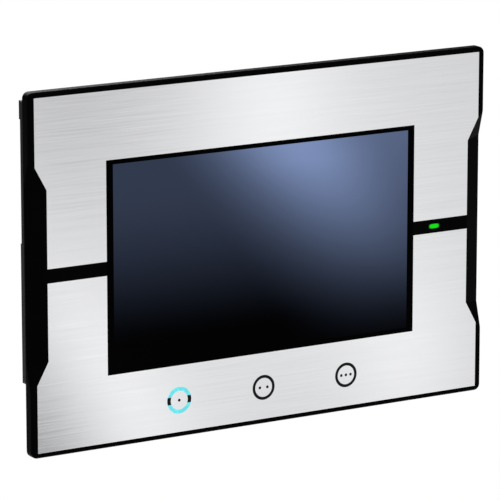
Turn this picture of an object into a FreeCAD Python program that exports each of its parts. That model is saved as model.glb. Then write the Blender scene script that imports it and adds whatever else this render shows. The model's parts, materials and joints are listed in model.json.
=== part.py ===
import FreeCAD, Part
import math
import operator
import os

import Sketcher
from FreeCAD import Rotation, Vector

# Panel-mounted 7 inch operator panel.  The origin is the centre of the seat plane, the rear face
# of the bezel flange that rests on the cabinet door.  +X is right seen from the front, +Y points
# back into the cabinet and +Z is up.  All sizes are in millimetres.

SIZES = {
    # bezel flange and the skirt that passes through the panel cut-out
    "bezel_wide": 238.0, "bezel_high": 164.4, "flange_thick": 6.0, "bezel_corner": 3.0,
    "bezel_edge": 1.2, "bezel_back_edge": 1.2,
    "cutout_wide": 197.0, "cutout_high": 141.0, "cutout_gap": 0.8,
    "skirt_deep": 10.0, "wall": 2.5, "skin_thick": 3.8, "boss_radius": 3.0, "pilot_radius": 1.2,
    "boss_x": 88.5, "boss_z": 60.0,
    # waist cut into both long sides of the flange
    "waist_half_wide": 110.2, "waist_half_high": 38.6, "slant_half_high": 49.0,
    "facet_deep": 4.2, "facet_half_high": 39.8,
    # brushed trim plates, with the dark bars between them
    "silver_half_wide": 115.9, "silver_half_high": 79.8, "trim_thick": 0.8, "bar_half_high": 3.2,
    # window
    "window_half_wide": 80.6, "window_half_high": 48.8, "view_half_wide": 77.2,
    "view_half_high": 46.7, "border_thick": 0.15, "glass_thick": 1.85, "ledge_half_wide": 78.2,
    "ledge_half_high": 47.7, "ledge_thick": 1.0, "play": 0.1,
    # display module
    "cell_half_wide": 80.5, "cell_half_high": 48.5, "cell_thick": 1.4, "frame_half_wide": 82.5,
    "frame_half_high": 50.0, "frame_thick": 0.4, "lamp_thick": 3.9, "foam_half_wide": 76.6,
    "foam_half_high": 46.1,
    # function keys
    "key_pitch": 44.2, "key_drop": 65.0, "ring_radius": 5.85, "ring_line": 1.4,
    "lit_radius": 6.2, "lit_line": 1.8, "lit_gap": 1.7, "dot_radius": 0.68, "two_dot_step": 1.97,
    "three_dot_step": 2.5, "mark_deep": 0.3, "mark_thick": 0.28, "key_bed_half_wide": 56.0,
    "key_bed_half_high": 7.4, "key_bed_deep": 2.0, "key_board_thick": 1.0,
    "guide_radius": 6.8,
    # status light
    "light_x": 92.0, "light_half_wide": 2.95, "light_half_high": 1.2, "light_stem": 0.9,
    # panel gasket
    "gasket_half_wide": 103.5, "gasket_half_high": 75.0, "gasket_line": 4.0, "gasket_deep": 2.0,
    # chassis and boards
    "chassis_level": 5.0, "chassis_thick": 1.2, "chassis_half_wide": 93.5,
    "chassis_half_high": 65.0, "board_level": 14.0, "board_thick": 1.6, "board_half_wide": 86.0,
    "board_low": -58.6, "board_top": 60.0, "post_radius": 2.6, "post_x": 78.0, "post_low": -36.0,
    "post_high": 54.0, "screw_hole": 1.6, "head_high": 1.8, "recess_level": 0.9,
    "recess_half": 0.3, "screw_bite": 5.0,
    # display cable and its slot in the chassis
    "flex_left": 30.0, "flex_right": 60.0, "flex_level": -53.0, "flex_thick": 0.2,
    "flex_reach": 4.5, "flex_slot_side": 5.0, "flex_slot_high": 3.0,
    # parts on the rear of the board
    "chip_thick": 1.4, "processor_half": 16.0, "processor_z": 11.0, "converter_left": -84.0,
    "converter_right": -50.0, "converter_low": -30.0, "converter_top": 2.0,
    "converter_high": 14.0, "converter_corner": 1.5, "buzzer_x": 72.0, "buzzer_z": -6.0,
    "buzzer_radius": 6.0, "buzzer_high": 7.0, "buzzer_hole": 1.2, "buzzer_hole_deep": 2.0,
    # heat sink
    "sink_half_wide": 35.0, "sink_low": -22.0, "sink_top": 44.0, "sink_level": 19.0,
    "sink_base": 3.0, "fin_thick": 1.5, "fin_pitch": 5.27, "fin_level": 56.0,
    # rear case
    "case_low": -62.0, "case_back": 43.0, "lip_back": 45.1, "lip_low": 60.5, "step_back": 45.0,
    "step_top": 3.5, "step_x": 85.0, "case_corner": 2.0, "hatch_half_wide": 72.0,
    "hatch_half_high": 46.0, "close_thick": 2.2, "case_screw_x": 91.0, "case_screw_z": 54.0,
    "column_radius": 3.2, "step_inset": 0.6, "pedestal_margin": 2.0, "top_vent_start": -40.0,
    "top_vent_front": 20.0, "top_vent_back": 38.0,
    # rear cover
    "cover_half_wide": 84.0, "cover_low": -58.0, "cover_top": 58.0, "cover_back": 63.0,
    "cover_wall": 2.2, "cover_corner": 3.0, "cover_screw_x": 76.0, "cover_screw_z": 50.0,
    "slot_wide": 3.0, "slot_pitch": 6.5, "slot_start": -60.0, "slot_low": 24.0, "slot_top": 46.0,
    "side_slot_front": 47.0, "side_slot_back": 58.0, "well_gap": 0.4, "well_deep": 1.0,
    # clamp brackets
    "clamp_top_x": 62.0, "clamp_low_x": 86.0, "arm_inner": 5.5, "arm_outer": 8.5, "leg_level": 11.0,
    "leg_thick": 3.0, "leg_high": 7.5, "arm_high": 3.0, "arm_back": 30.0, "hook_front": 26.0,
    "hook_back": 29.0, "hook_deep": 3.4, "hook_gap": 0.25, "clamp_play": 0.3,
    "clamp_axis": 3.7, "thread_radius": 1.95, "thread_hole": 2.0, "tip_radius": 1.5,
    "tip_hole": 1.55, "tip_gap": 0.1, "shaft_gap": 0.2, "head_radius": 3.0,
    "head_level": 22.0, "head_thick": 2.6,
    "foot_level": 3.0, "foot_radius": 3.4, "foot_thick": 1.4, "cup_radius": 2.6, "cup_long": 4.4,
    # connector row in the underside of the rear case
    "row_front": 15.6, "socket_proud": 0.6,
    "power_x": -66.0, "power_half": 9.0, "power_high": 12.0, "power_long": 14.0,
    "plug_half": 7.9, "plug_high": 9.6, "plug_in": 9.0, "plug_out": 9.0, "pin_pitch": 5.08,
    "wire_radius": 1.5, "wire_deep": 7.0, "plug_gap": 0.3, "plug_front": 1.2,
    "plug_depth_gap": 0.4, "terminal_well": 1.9, "terminal_radius": 1.8, "terminal_z": 4.5,
    "terminal_well_deep": 2.0, "terminal_high": 1.4, "groove_deep": 0.6, "groove_half": 0.3,
    "reset_x": -53.5, "reset_radius": 1.6, "reset_proud": 1.2, "reset_back": 4.0,
    "reset_gap": 0.3, "collar_rim": 0.8, "collar_gap": 0.2, "collar_thick": 1.0,
    "serial_x": -34.5, "serial_half": 15.4, "serial_high": 12.5, "serial_shell": 5.6,
    "serial_lift": 0.1, "serial_wide_half": 8.4, "serial_narrow_half": 7.0,
    "serial_tall_half": 4.2, "serial_wall": 0.6, "serial_corner": 1.5, "insert_long": 8.0,
    "contact_pitch": 2.77, "contact_row": 1.42, "contact_hole": 0.55, "contact_deep": 5.0,
    "nut_clear": 1.5, "nut_side": 3.2,
    "nut_pitch": 24.99, "nut_radius": 2.5, "nut_long": 5.0, "nut_hole": 1.2,
    "switch_x": -15.5, "switch_half": 2.7, "switch_high": 8.0, "switch_travel": 2.0,
    "switch_proud": 0.2, "switch_deep": 6.0, "switch_rim": 1.2, "switch_hole_half": 1.2,
    "switch_hole_deep": 2.4, "lever_margin": 1.6, "lever_half": 0.8, "lever_proud": 1.4,
    "lever_deep": 2.0,
    "net_first_x": -3.5, "net_pitch": 18.0, "net_half": 8.0, "net_high": 13.5, "net_long": 21.0,
    "net_hole_half": 5.9, "net_hole_high": 8.2, "net_hole_deep": 14.0, "net_wall": 1.8,
    "latch_half": 3.0, "latch_deep": 2.0,
    "usb_first_x": 31.5, "usb_pitch": 16.0, "usb_half": 6.7, "usb_high": 5.9, "usb_long": 14.0,
    "usb_wall": 0.4, "usb_tongue": 1.8, "usb_tongue_gap": 0.3, "usb_tongue_half": 5.5,
    "device_x": 63.0, "device_half": 6.0, "device_high": 10.8, "device_long": 16.0,
    "device_hole_half": 4.3, "device_hole_front": 1.5, "device_hole_back": 9.4,
    "device_tongue_half": 2.8, "device_tongue_front": 3.8, "device_tongue_back": 7.1,
    "device_floor": 3.0,
    # memory card in the right-hand wall
    "card_low": 20.0, "card_top": 44.0, "card_front": 17.0, "card_thick": 2.1, "card_long": 32.0,
    "card_proud": 1.0, "cage_gap": 0.35, "cage_wall": 0.4, "cage_end": 3.0, "card_corner": 4.0,
    # battery compartment in the rear cover
    "door_left": 40.0, "door_right": 72.0, "door_low": -46.0, "door_top": -23.6, "door_gap": 0.4,
    "door_thick": 2.0, "hinge_pin": 0.5, "hinge_hole": 0.56, "tray_wall": 1.2, "tray_front": 44.0,
    "cell_radius": 7.0, "cell_long": 25.0, "cell_tip": 1.5, "grip_radius": 5.0,
    "grip_deep": 0.8, "grip_z": 3.5, "pin_reach": 2.0,
    # expansion port in the rear cover
    "port_left": -72.0, "port_right": -28.0, "port_low": -46.0, "port_top": -33.0,
    "port_block_side": 3.0, "port_block_half": 3.5, "port_block_gap": 3.0, "port_slot_side": 5.0,
    "port_slot_half": 2.2, "port_slot_deep": 9.0, "port_tongue_side": 7.0,
    "port_tongue_half": 0.8, "port_tongue_gap": 4.0, "notch_far": 6.0, "notch_near": 2.0,
    "notch_half": 2.5,
    # rating label
    "label_left": -70.0, "label_right": -10.0, "label_low": -22.0, "label_top": 16.0,
    "label_thick": 0.12, "label_corner": 2.0,
}

# numbers of repeated features, and the share of a screw head that its recess or socket spans
SLOT_COUNT = 19
TOP_SLOT_COUNT = 13
RECESS_SHARE = 0.62
SOCKET_SHARE = 0.56
FIN_COUNT = 14
# two places this close together count as one, in mm
NEAR = 0.01
# chips on the board: X, Z, width and height
CHIPS = (
    (-60, 30, 14, 14), (-60, 12, 12, 8), (52, 32, 10, 16), (52, 8, 14, 14),
    (46, -14, 9, 9), (34, -36, 12, 10), (16, -36, 12, 9), (-16, -36, 12, 9),
)
# capacitors on the board: X, Z, radius and height
CAPACITORS = (
    (-80, -46, 4, 11), (-70, 48, 3.2, 8), (-62, 48, 3.2, 8), (-54, 48, 3.2, 8),
    (40, 49, 4, 10), (50, 49, 4, 10),
)

OPERATIONS = {"+": operator.add, "-": operator.sub, "*": operator.mul, "/": operator.truediv}

doc = FreeCAD.newDocument("operator_panel")
sheet = doc.addObject("Spreadsheet::Sheet", "sizes")
for row, (alias, number) in enumerate(SIZES.items(), 1):
    sheet.set("A%d" % row, alias)
    sheet.set("B%d" % row, str(number))
    sheet.setAlias("B%d" % row, alias)
doc.recompute()


class Size:
    """A number together with the sheet formula that it comes from."""

    def __init__(self, number, formula):
        self.number = number
        self.formula = formula

    def __add__(self, other):
        return combine(self, "+", other)

    def __radd__(self, other):
        return combine(other, "+", self)

    def __sub__(self, other):
        return combine(self, "-", other)

    def __rsub__(self, other):
        return combine(other, "-", self)

    def __mul__(self, other):
        return combine(self, "*", other)

    def __rmul__(self, other):
        return combine(other, "*", self)

    def __truediv__(self, other):
        return combine(self, "/", other)

    def __neg__(self):
        return combine(0, "-", self)


def as_size(value):
    """A plain number as a Size."""
    return value if isinstance(value, Size) else Size(float(value), repr(float(value)))


def combine(left, sign, right):
    """Both the number and the formula of left sign right."""
    left = as_size(left)
    right = as_size(right)
    number = OPERATIONS[sign](left.number, right.number)
    return Size(number, "(%s %s %s)" % (left.formula, sign, right.formula))


class Sheet:
    """Reads the sizes from the sheet by their alias."""

    def __getattr__(self, alias):
        return Size(float(sheet.get(alias)), "sizes." + alias)


d = Sheet()
sub_parts = []


def bind(item, path, value):
    """Ties one property of an object to the sheet."""
    item.setExpression(path, as_size(value).formula)


def keep(item, label):
    """Registers an object as a finished sub-part."""
    item.Label = label
    sub_parts.append(item)
    return item


# ---- Part primitives -------------------------------------------------------------------------

def block(name, x, y, z):
    """Box between two values along each axis."""
    item = doc.addObject("Part::Box", name)
    for axis, side, (low, high) in (("x", "Length", x), ("y", "Width", y), ("z", "Height", z)):
        bind(item, side, as_size(high) - low)
        bind(item, "Placement.Base." + axis, low)
    return item


def rod(name, radius, axis, span, first, second):
    """Cylinder along an axis, with its other two coordinates in X, Y, Z order."""
    turns = {
        "x": Rotation(Vector(0, 1, 0), 90),
        "y": Rotation(Vector(1, 0, 0), -90),
        "z": Rotation(),
    }
    item = doc.addObject("Part::Cylinder", name)
    item.Placement.Rotation = turns[axis]
    bind(item, "Radius", radius)
    bind(item, "Height", as_size(span[1]) - span[0])
    others = [letter for letter in "xyz" if letter != axis]
    bind(item, "Placement.Base." + axis, span[0])
    bind(item, "Placement.Base." + others[0], first)
    bind(item, "Placement.Base." + others[1], second)
    return item


def cut(name, base, *tools):
    """Base with every tool removed."""
    item = doc.addObject("Part::Cut", name)
    item.Base = base
    item.Tool = tools[0] if len(tools) == 1 else fuse(name + "_tools", *tools)
    return item


def fuse(name, *pieces):
    """Pieces joined into one solid."""
    item = doc.addObject("Part::MultiFuse", name)
    item.Shapes = list(pieces)
    item.Refine = True
    return item


def group(name, pieces):
    """Separate solids kept together in one sub-part."""
    item = doc.addObject("Part::Compound", name)
    item.Links = list(pieces)
    return item


def along(edge, axis):
    """Whether an edge is straight and parallel to an axis."""
    if edge.Curve.TypeId != "Part::GeomLine":
        return False
    return abs(abs(edge.tangentAt(edge.FirstParameter).dot(axis)) - 1) < 1e-6


def round_edges(name, item, radius, test):
    """Part fillet on every edge that passes the test."""
    doc.recompute()
    rounded = doc.addObject("Part::Fillet", name)
    rounded.Base = item
    numbers = [i for i, edge in enumerate(item.Shape.Edges, 1) if test(edge)]
    rounded.Edges = [(i, radius.number, radius.number) for i in numbers]
    return rounded


X_AXIS = Vector(1, 0, 0)
Y_AXIS = Vector(0, 1, 0)
Z_AXIS = Vector(0, 0, 1)


# ---- PartDesign helpers ----------------------------------------------------------------------

def new_body(label):
    """Empty PartDesign body that becomes one sub-part."""
    body = doc.addObject("PartDesign::Body", label)
    return keep(body, label)


def new_sketch(body, name, role, level):
    """Sketch on an origin plane, moved to a level along the row axis normal to it."""
    sketch = body.newObject("Sketcher::SketchObject", name)
    plane = [item for item in body.Origin.OriginFeatures if item.Role == role][0]
    sketch.AttachmentSupport = (plane, [""])
    sketch.MapMode = "FlatFace"
    level = as_size(level)
    bind(sketch, "AttachmentOffset.Base.z", -level if role == "XZ_Plane" else level)
    return sketch


def place_point(sketch, geometry, position, x, y):
    """Fixes a point at coordinates that follow the sheet."""
    for kind, axis_line, value in (("DistanceX", -2, x), ("DistanceY", -1, y)):
        value = as_size(value)
        if abs(value.number) < 1e-9:
            sketch.addConstraint(Sketcher.Constraint("PointOnObject", geometry, position, axis_line))
            continue
        index = sketch.addConstraint(
            Sketcher.Constraint(kind, -1, 1, geometry, position, value.number))
        sketch.setExpression("Constraints[%d]" % index, value.formula)


def add_polygon(sketch, points):
    """Closed straight outline."""
    points = [(as_size(x), as_size(y)) for x, y in points]
    corners = [Vector(x.number, y.number, 0) for x, y in points]
    lines = []
    for i, corner in enumerate(corners):
        line = Part.LineSegment(corner, corners[(i + 1) % len(corners)])
        lines.append(sketch.addGeometry(line, False))
    for i, line in enumerate(lines):
        follower = lines[(i + 1) % len(lines)]
        sketch.addConstraint(Sketcher.Constraint("Coincident", line, 2, follower, 1))
    for line, (x, y) in zip(lines, points):
        place_point(sketch, line, 1, x, y)
    return sketch


def add_rectangle(sketch, x, y):
    """Rectangle between two values along each sketch axis."""
    return add_polygon(sketch, [(x[0], y[0]), (x[1], y[0]), (x[1], y[1]), (x[0], y[1])])


def add_circle(sketch, x, y, radius):
    """Circle whose centre and radius follow the sheet."""
    radius = as_size(radius)
    centre = Vector(as_size(x).number, as_size(y).number, 0)
    circle = sketch.addGeometry(Part.Circle(centre, Vector(0, 0, 1), radius.number), False)
    place_point(sketch, circle, 3, x, y)
    index = sketch.addConstraint(Sketcher.Constraint("Radius", circle, radius.number))
    sketch.setExpression("Constraints[%d]" % index, radius.formula)
    return sketch


def pad(body, sketch, length, backward=False):
    """Pad along the sketch normal: towards -Y on an XZ sketch, unless it goes backward."""
    feature = body.newObject("PartDesign::Pad", sketch.Name + "_pad")
    feature.Profile = sketch
    bind(feature, "Length", length)
    feature.Reversed = backward
    sketch.Visibility = False
    doc.recompute()
    return feature


def pocket(body, sketch, length, backward=False):
    """Pocket against the sketch normal: towards +Y on an XZ sketch, unless it goes backward."""
    before = body.Shape.Volume
    feature = body.newObject("PartDesign::Pocket", sketch.Name + "_pocket")
    feature.Profile = sketch
    bind(feature, "Length", length)
    feature.Reversed = backward
    sketch.Visibility = False
    doc.recompute()
    if body.Shape.Volume > before - 1e-6:
        raise RuntimeError("%s cuts nothing" % feature.Name)
    return feature


def fillet(body, name, radius, test):
    """PartDesign fillet on every edge of the body so far that passes the test."""
    doc.recompute()
    tip = body.Tip
    numbers = [i for i, edge in enumerate(tip.Shape.Edges, 1) if test(edge)]
    feature = body.newObject("PartDesign::Fillet", name)
    feature.Base = (tip, ["Edge%d" % i for i in numbers])
    bind(feature, "Radius", radius)
    doc.recompute()
    return feature


def repeat(body, feature, sketch, direction, length, count):
    """Linear pattern of a feature along one axis of its sketch."""
    pattern = body.newObject("PartDesign::LinearPattern", feature.Name + "_row")
    pattern.Originals = [feature]
    pattern.Direction = (sketch, [direction])
    bind(pattern, "Length", length)
    pattern.Occurrences = count
    body.Tip = pattern
    doc.recompute()
    return pattern


# ---- places worked out from the sheet --------------------------------------------------------

bezel_x = d.bezel_wide / 2
bezel_z = d.bezel_high / 2
front = -d.flange_thick
plate_back = front + d.trim_thick
skirt_x = d.cutout_wide / 2 - d.cutout_gap
skirt_z = d.cutout_high / 2 - d.cutout_gap
inside_x = skirt_x - d.wall
inside_z = skirt_z - d.wall
floor_level = front + d.skin_thick
glass_front = front + d.border_thick
glass_back = glass_front + d.glass_thick
ledge_back = glass_back + d.ledge_thick
module_front = ledge_back + d.play
board_back = d.board_level + d.board_thick
chassis_back = d.chassis_level + d.chassis_thick
cover_front = d.case_back
row_face = d.case_low - d.socket_proud
case_ceiling = d.case_low + d.wall


def plate_outline(side):
    """Outline of the trim plate above (side 1) or below (side -1) the dark bars."""
    right = [
        (d.window_half_wide, d.bar_half_high),
        (d.waist_half_wide, d.bar_half_high),
        (d.waist_half_wide, d.waist_half_high),
        (d.silver_half_wide, d.slant_half_high),
        (d.silver_half_wide, d.silver_half_high),
    ]
    left = [(-x, z) for x, z in reversed(right)]
    top = [(-d.window_half_wide, d.window_half_high), (d.window_half_wide, d.window_half_high)]
    return [(x, z * side) for x, z in right + left + top]


def boss_places():
    """Where the chassis is screwed to the bezel."""
    return [(x, z) for z in (-d.boss_z, d.boss_z) for x in (-d.boss_x, 0, d.boss_x)]


def post_places():
    """Where the main board stands on the chassis."""
    return [(x, z) for z in (d.post_low, d.post_high) for x in (-d.post_x, 0, d.post_x)]


# ---- front -----------------------------------------------------------------------------------

def cut_waist(body, side):
    """Sloping facet that narrows the flange at half height on one side."""
    reach = bezel_x + 2
    slope = (d.slant_half_high - d.waist_half_high) / (d.silver_half_wide - d.waist_half_wide)
    near = new_sketch(body, "waist_front_%d" % (side + 1), "XZ_Plane", front - NEAR)
    near_high = d.waist_half_high + slope * (reach - d.waist_half_wide)
    add_polygon(near, [
        (d.waist_half_wide * side, -d.waist_half_high), (reach * side, -near_high),
        (reach * side, near_high), (d.waist_half_wide * side, d.waist_half_high)])
    far = new_sketch(body, "waist_back_%d" % (side + 1), "XZ_Plane", front + d.facet_deep)
    far_high = d.facet_half_high + slope * 2
    add_polygon(far, [
        (bezel_x * side, -d.facet_half_high), (reach * side, -far_high),
        (reach * side, far_high), (bezel_x * side, d.facet_half_high)])
    before = body.Shape.Volume
    feature = body.newObject("PartDesign::SubtractiveLoft", "waist_%d" % (side + 1))
    feature.Profile = near
    feature.Sections = [far]
    feature.Ruled = True
    near.Visibility = False
    far.Visibility = False
    doc.recompute()
    if body.Shape.Volume > before - 1:
        raise RuntimeError("the waist cuts nothing")


def make_front_bezel():
    """Flange, waist, beds for plates and glass, skirt and screw bosses in one moulding."""
    body = new_body("front_bezel")
    sketch = new_sketch(body, "flange", "XZ_Plane", 0)
    pad(body, add_rectangle(sketch, (-bezel_x, bezel_x), (-bezel_z, bezel_z)), d.flange_thick)
    fillet(body, "flange_corners", d.bezel_corner, lambda edge: along(edge, Y_AXIS))
    fillet(body, "flange_edge", d.bezel_edge,
           lambda edge: edge.BoundBox.YMax < front.number + NEAR)
    fillet(body, "flange_back_edge", d.bezel_back_edge,
           lambda edge: edge.BoundBox.YMin > -NEAR)
    sketch = new_sketch(body, "skirt", "XZ_Plane", 0)
    add_rectangle(sketch, (-skirt_x, skirt_x), (-skirt_z, skirt_z))
    pad(body, sketch, d.skirt_deep, backward=True)
    sketch = new_sketch(body, "hollow", "XZ_Plane", d.skirt_deep)
    add_rectangle(sketch, (-inside_x, inside_x), (-inside_z, inside_z))
    pocket(body, sketch, d.skirt_deep - floor_level, backward=True)
    sketch = new_sketch(body, "module_bed", "XZ_Plane", floor_level)
    module_x = d.frame_half_wide + d.play
    module_z = d.frame_half_high + d.play
    add_rectangle(sketch, (-module_x, module_x), (-module_z, module_z))
    pocket(body, sketch, floor_level - ledge_back, backward=True)
    sketch = new_sketch(body, "glass_bed", "XZ_Plane", front)
    glass_x = d.window_half_wide
    glass_z = d.window_half_high
    add_rectangle(sketch, (-glass_x, glass_x), (-glass_z, glass_z))
    pocket(body, sketch, glass_back - front)
    sketch = new_sketch(body, "view_hole", "XZ_Plane", glass_back)
    add_rectangle(sketch, (-d.ledge_half_wide, d.ledge_half_wide),
                  (-d.ledge_half_high, d.ledge_half_high))
    pocket(body, sketch, d.ledge_thick + 1)
    for side in (1, -1):
        sketch = new_sketch(body, "plate_bed_%d" % (side + 1), "XZ_Plane", front)
        pocket(body, add_polygon(sketch, plate_outline(side)), d.trim_thick)
        cut_waist(body, side)
    sketch = new_sketch(body, "key_bed", "XZ_Plane", plate_back)
    add_rectangle(sketch, (-d.key_bed_half_wide, d.key_bed_half_wide),
                  (-d.key_drop - d.key_bed_half_high, -d.key_drop + d.key_bed_half_high))
    pocket(body, sketch, d.key_bed_deep)
    sketch = new_sketch(body, "light_slot", "XZ_Plane", front)
    add_rectangle(sketch, (d.light_x - d.light_half_wide, d.light_x + d.light_half_wide),
                  (-d.light_half_high, d.light_half_high))
    pocket(body, sketch, d.skin_thick)
    sketch = new_sketch(body, "gasket_groove", "XZ_Plane", 0)
    add_gasket_ring(sketch)
    pocket(body, sketch, d.gasket_deep, backward=True)
    sketch = new_sketch(body, "bosses", "XZ_Plane", floor_level)
    for x, z in boss_places():
        add_circle(sketch, x, z, d.boss_radius)
    pad(body, sketch, d.chassis_level - floor_level, backward=True)
    sketch = new_sketch(body, "pilot_holes", "XZ_Plane", d.chassis_level)
    for x, z in boss_places():
        add_circle(sketch, x, z, d.pilot_radius)
    pocket(body, sketch, d.chassis_level - floor_level, backward=True)


def add_gasket_ring(sketch):
    """Two rectangles, the inner and outer line of the gasket."""
    for grow in (d.gasket_line / 2, -d.gasket_line / 2):
        half_x = d.gasket_half_wide + grow
        half_z = d.gasket_half_high + grow
        add_rectangle(sketch, (-half_x, half_x), (-half_z, half_z))


def make_panel_gasket():
    """Sealing ring, drawn pressed flush with the seat."""
    body = new_body("panel_gasket")
    sketch = new_sketch(body, "ring", "XZ_Plane", 0)
    add_gasket_ring(sketch)
    pad(body, sketch, d.gasket_deep)


def key_places():
    """Centre of each function key, with the places of its dots."""
    return [
        (-d.key_pitch, [0]),
        (as_size(0), [-d.two_dot_step, d.two_dot_step]),
        (d.key_pitch, [-d.three_dot_step, 0, d.three_dot_step]),
    ]


def add_key_marks(sketch, number):
    """Ring and dots of one function key; the first key has the wide lit ring."""
    key_x, dots = key_places()[number]
    outer = d.ring_radius if number else d.lit_radius
    line = d.ring_line if number else d.lit_line
    add_circle(sketch, key_x, -d.key_drop, outer)
    add_circle(sketch, key_x, -d.key_drop, outer - line)
    for step in dots:
        add_circle(sketch, key_x + step, -d.key_drop, d.dot_radius)


def make_trim_plates():
    """Two brushed sheets in the front of the bezel; the lower one is engraved for the keys."""
    for side, label in ((1, "upper_trim_plate"), (-1, "lower_trim_plate")):
        body = new_body(label)
        sketch = new_sketch(body, "sheet_%d" % (side + 1), "XZ_Plane", plate_back)
        pad(body, add_polygon(sketch, plate_outline(side)), d.trim_thick)
    for number in range(3):
        sketch = new_sketch(body, "engraving_%d" % number, "XZ_Plane", front)
        add_key_marks(sketch, number)
        pocket(body, sketch, d.mark_deep)


def make_ring(name, key_x, radius, line):
    """Flat ring that fills the engraved ring of one function key."""
    level = front + d.mark_deep
    outer = rod(name + "_outer", radius, "y", (level - d.mark_thick, level), key_x, -d.key_drop)
    inner = rod(name + "_inner", radius - line, "y", (front - 1, level + 1), key_x, -d.key_drop)
    return cut(name, outer, inner)


def make_gap_bar(name, key_x):
    """Band across the lit key: its ring is dark inside the band."""
    return block(name, (key_x - d.lit_radius - 1, key_x + d.lit_radius + 1),
                 (front - 1, front + 1), (-d.key_drop - d.lit_gap, -d.key_drop + d.lit_gap))


def make_key_marks():
    """Dark inlays of the three keys, and the glowing arcs of the first."""
    level = front + d.mark_deep
    marks = []
    for number, (key_x, dots) in enumerate(key_places()):
        if number:
            marks.append(make_ring("ring_%d" % number, key_x, d.ring_radius, d.ring_line))
        for i, step in enumerate(dots):
            marks.append(rod("dot_%d_%d" % (number, i), d.dot_radius, "y",
                             (level - d.mark_thick, level), key_x + step, -d.key_drop))
    lit_x = -d.key_pitch
    gaps = doc.addObject("Part::Common", "gap_arcs")
    gaps.Base = make_ring("gap_ring", lit_x, d.lit_radius, d.lit_line)
    gaps.Tool = make_gap_bar("gap_bar", lit_x)
    keep(group("key_marks", marks + [gaps]), "key_marks")
    arcs = cut("key_light_arcs", make_ring("light_ring", lit_x, d.lit_radius, d.lit_line),
               make_gap_bar("light_bar", lit_x))
    keep(arcs, "key_light_arcs")


def make_key_electronics():
    """Light guides and the touch-sensor board under the lower trim plate."""
    board_front = plate_back + d.key_bed_deep - d.key_board_thick
    guides = []
    for i, (key_x, _) in enumerate(key_places()):
        disc = rod("guide_disc_%d" % i, d.guide_radius, "y", (plate_back, board_front),
                   key_x, -d.key_drop)
        well = rod("guide_well_%d" % i, d.guide_radius / 4, "y",
                   (board_front - d.mark_deep, board_front + 1), key_x, -d.key_drop)
        guides.append(cut("guide_%d" % i, disc, well))
    keep(group("key_light_guides", guides), "key_light_guides")
    keep(block("key_sensor_board",
               (-d.key_bed_half_wide + d.play, d.key_bed_half_wide - d.play),
               (board_front, board_front + d.key_board_thick),
               (-d.key_drop - d.key_bed_half_high + d.play,
                -d.key_drop + d.key_bed_half_high - d.play)), "key_sensor_board")


def make_status_light():
    """Light pipe that shows as a small green window in the right-hand bar."""
    window = block("light_window", (d.light_x - d.light_half_wide, d.light_x + d.light_half_wide),
                   (front, floor_level), (-d.light_half_high, d.light_half_high))
    stem = rod("light_stem", d.light_stem, "y", (floor_level, d.chassis_level), d.light_x, 0)
    keep(fuse("status_light_pipe", window, stem), "status_light_pipe")


def frame_ring(name, outer, inner, y):
    """Flat rectangular ring given by two pairs of half sizes."""
    sheet_block = block(name + "_sheet", (-outer[0], outer[0]), y, (-outer[1], outer[1]))
    hole = block(name + "_hole", (-inner[0], inner[0]), (y[0] - 1, y[1] + 1),
                 (-inner[1], inner[1]))
    return cut(name, sheet_block, hole)


def make_window():
    """Dark border print, touch glass and the foam seal behind it."""
    window = (d.window_half_wide, d.window_half_high)
    view = (d.view_half_wide, d.view_half_high)
    keep(frame_ring("window_border", window, view, (front, glass_front)), "window_border")
    keep(block("touch_glass", (-window[0], window[0]), (glass_front, glass_back),
               (-window[1], window[1])), "touch_glass")
    keep(frame_ring("touch_gasket", (d.ledge_half_wide - d.play, d.ledge_half_high - d.play),
                    (d.foam_half_wide, d.foam_half_high), (glass_back, module_front)),
         "touch_gasket")


def make_display():
    """Display module: steel frame, liquid-crystal cell and backlight."""
    frame = (d.frame_half_wide, d.frame_half_high)
    cell = (d.cell_half_wide, d.cell_half_high)
    cell_front = module_front + d.frame_thick
    cell_back = cell_front + d.cell_thick
    lamp_back = cell_back + d.lamp_thick
    face = frame_ring("frame_face", frame, (d.foam_half_wide, d.foam_half_high),
                      (module_front, cell_front))
    inner = (frame[0] - d.frame_thick, frame[1] - d.frame_thick)
    sides = frame_ring("frame_sides", frame, inner, (cell_front, lamp_back))
    keep(fuse("lcd_frame", face, sides), "lcd_frame")
    keep(block("lcd_cell", (-cell[0], cell[0]), (cell_front, cell_back), (-cell[1], cell[1])),
         "lcd_cell")
    keep(block("backlight_unit", (-inner[0], inner[0]), (cell_back, lamp_back),
               (-inner[1], inner[1])), "backlight_unit")


# ---- inside ----------------------------------------------------------------------------------

def make_chassis():
    """Steel plate that carries the boards, with a slot for the display cable."""
    body = new_body("chassis_plate")
    sketch = new_sketch(body, "chassis_sheet", "XZ_Plane", chassis_back)
    add_rectangle(sketch, (-d.chassis_half_wide, d.chassis_half_wide),
                  (-d.chassis_half_high, d.chassis_half_high))
    pad(body, sketch, d.chassis_thick)
    fillet(body, "chassis_corners", d.bezel_corner, lambda edge: along(edge, Y_AXIS))
    sketch = new_sketch(body, "chassis_holes", "XZ_Plane", d.chassis_level)
    for x, z in boss_places() + post_places():
        add_circle(sketch, x, z, d.screw_hole)
    for x, z in case_screw_places():
        add_circle(sketch, x, z, d.pilot_radius)
    add_rectangle(sketch, (d.flex_left - d.flex_slot_side, d.flex_right + d.flex_slot_side),
                  (d.flex_level - d.flex_slot_high, d.flex_level + d.flex_slot_high))
    pocket(body, sketch, d.chassis_thick + 1)


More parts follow.
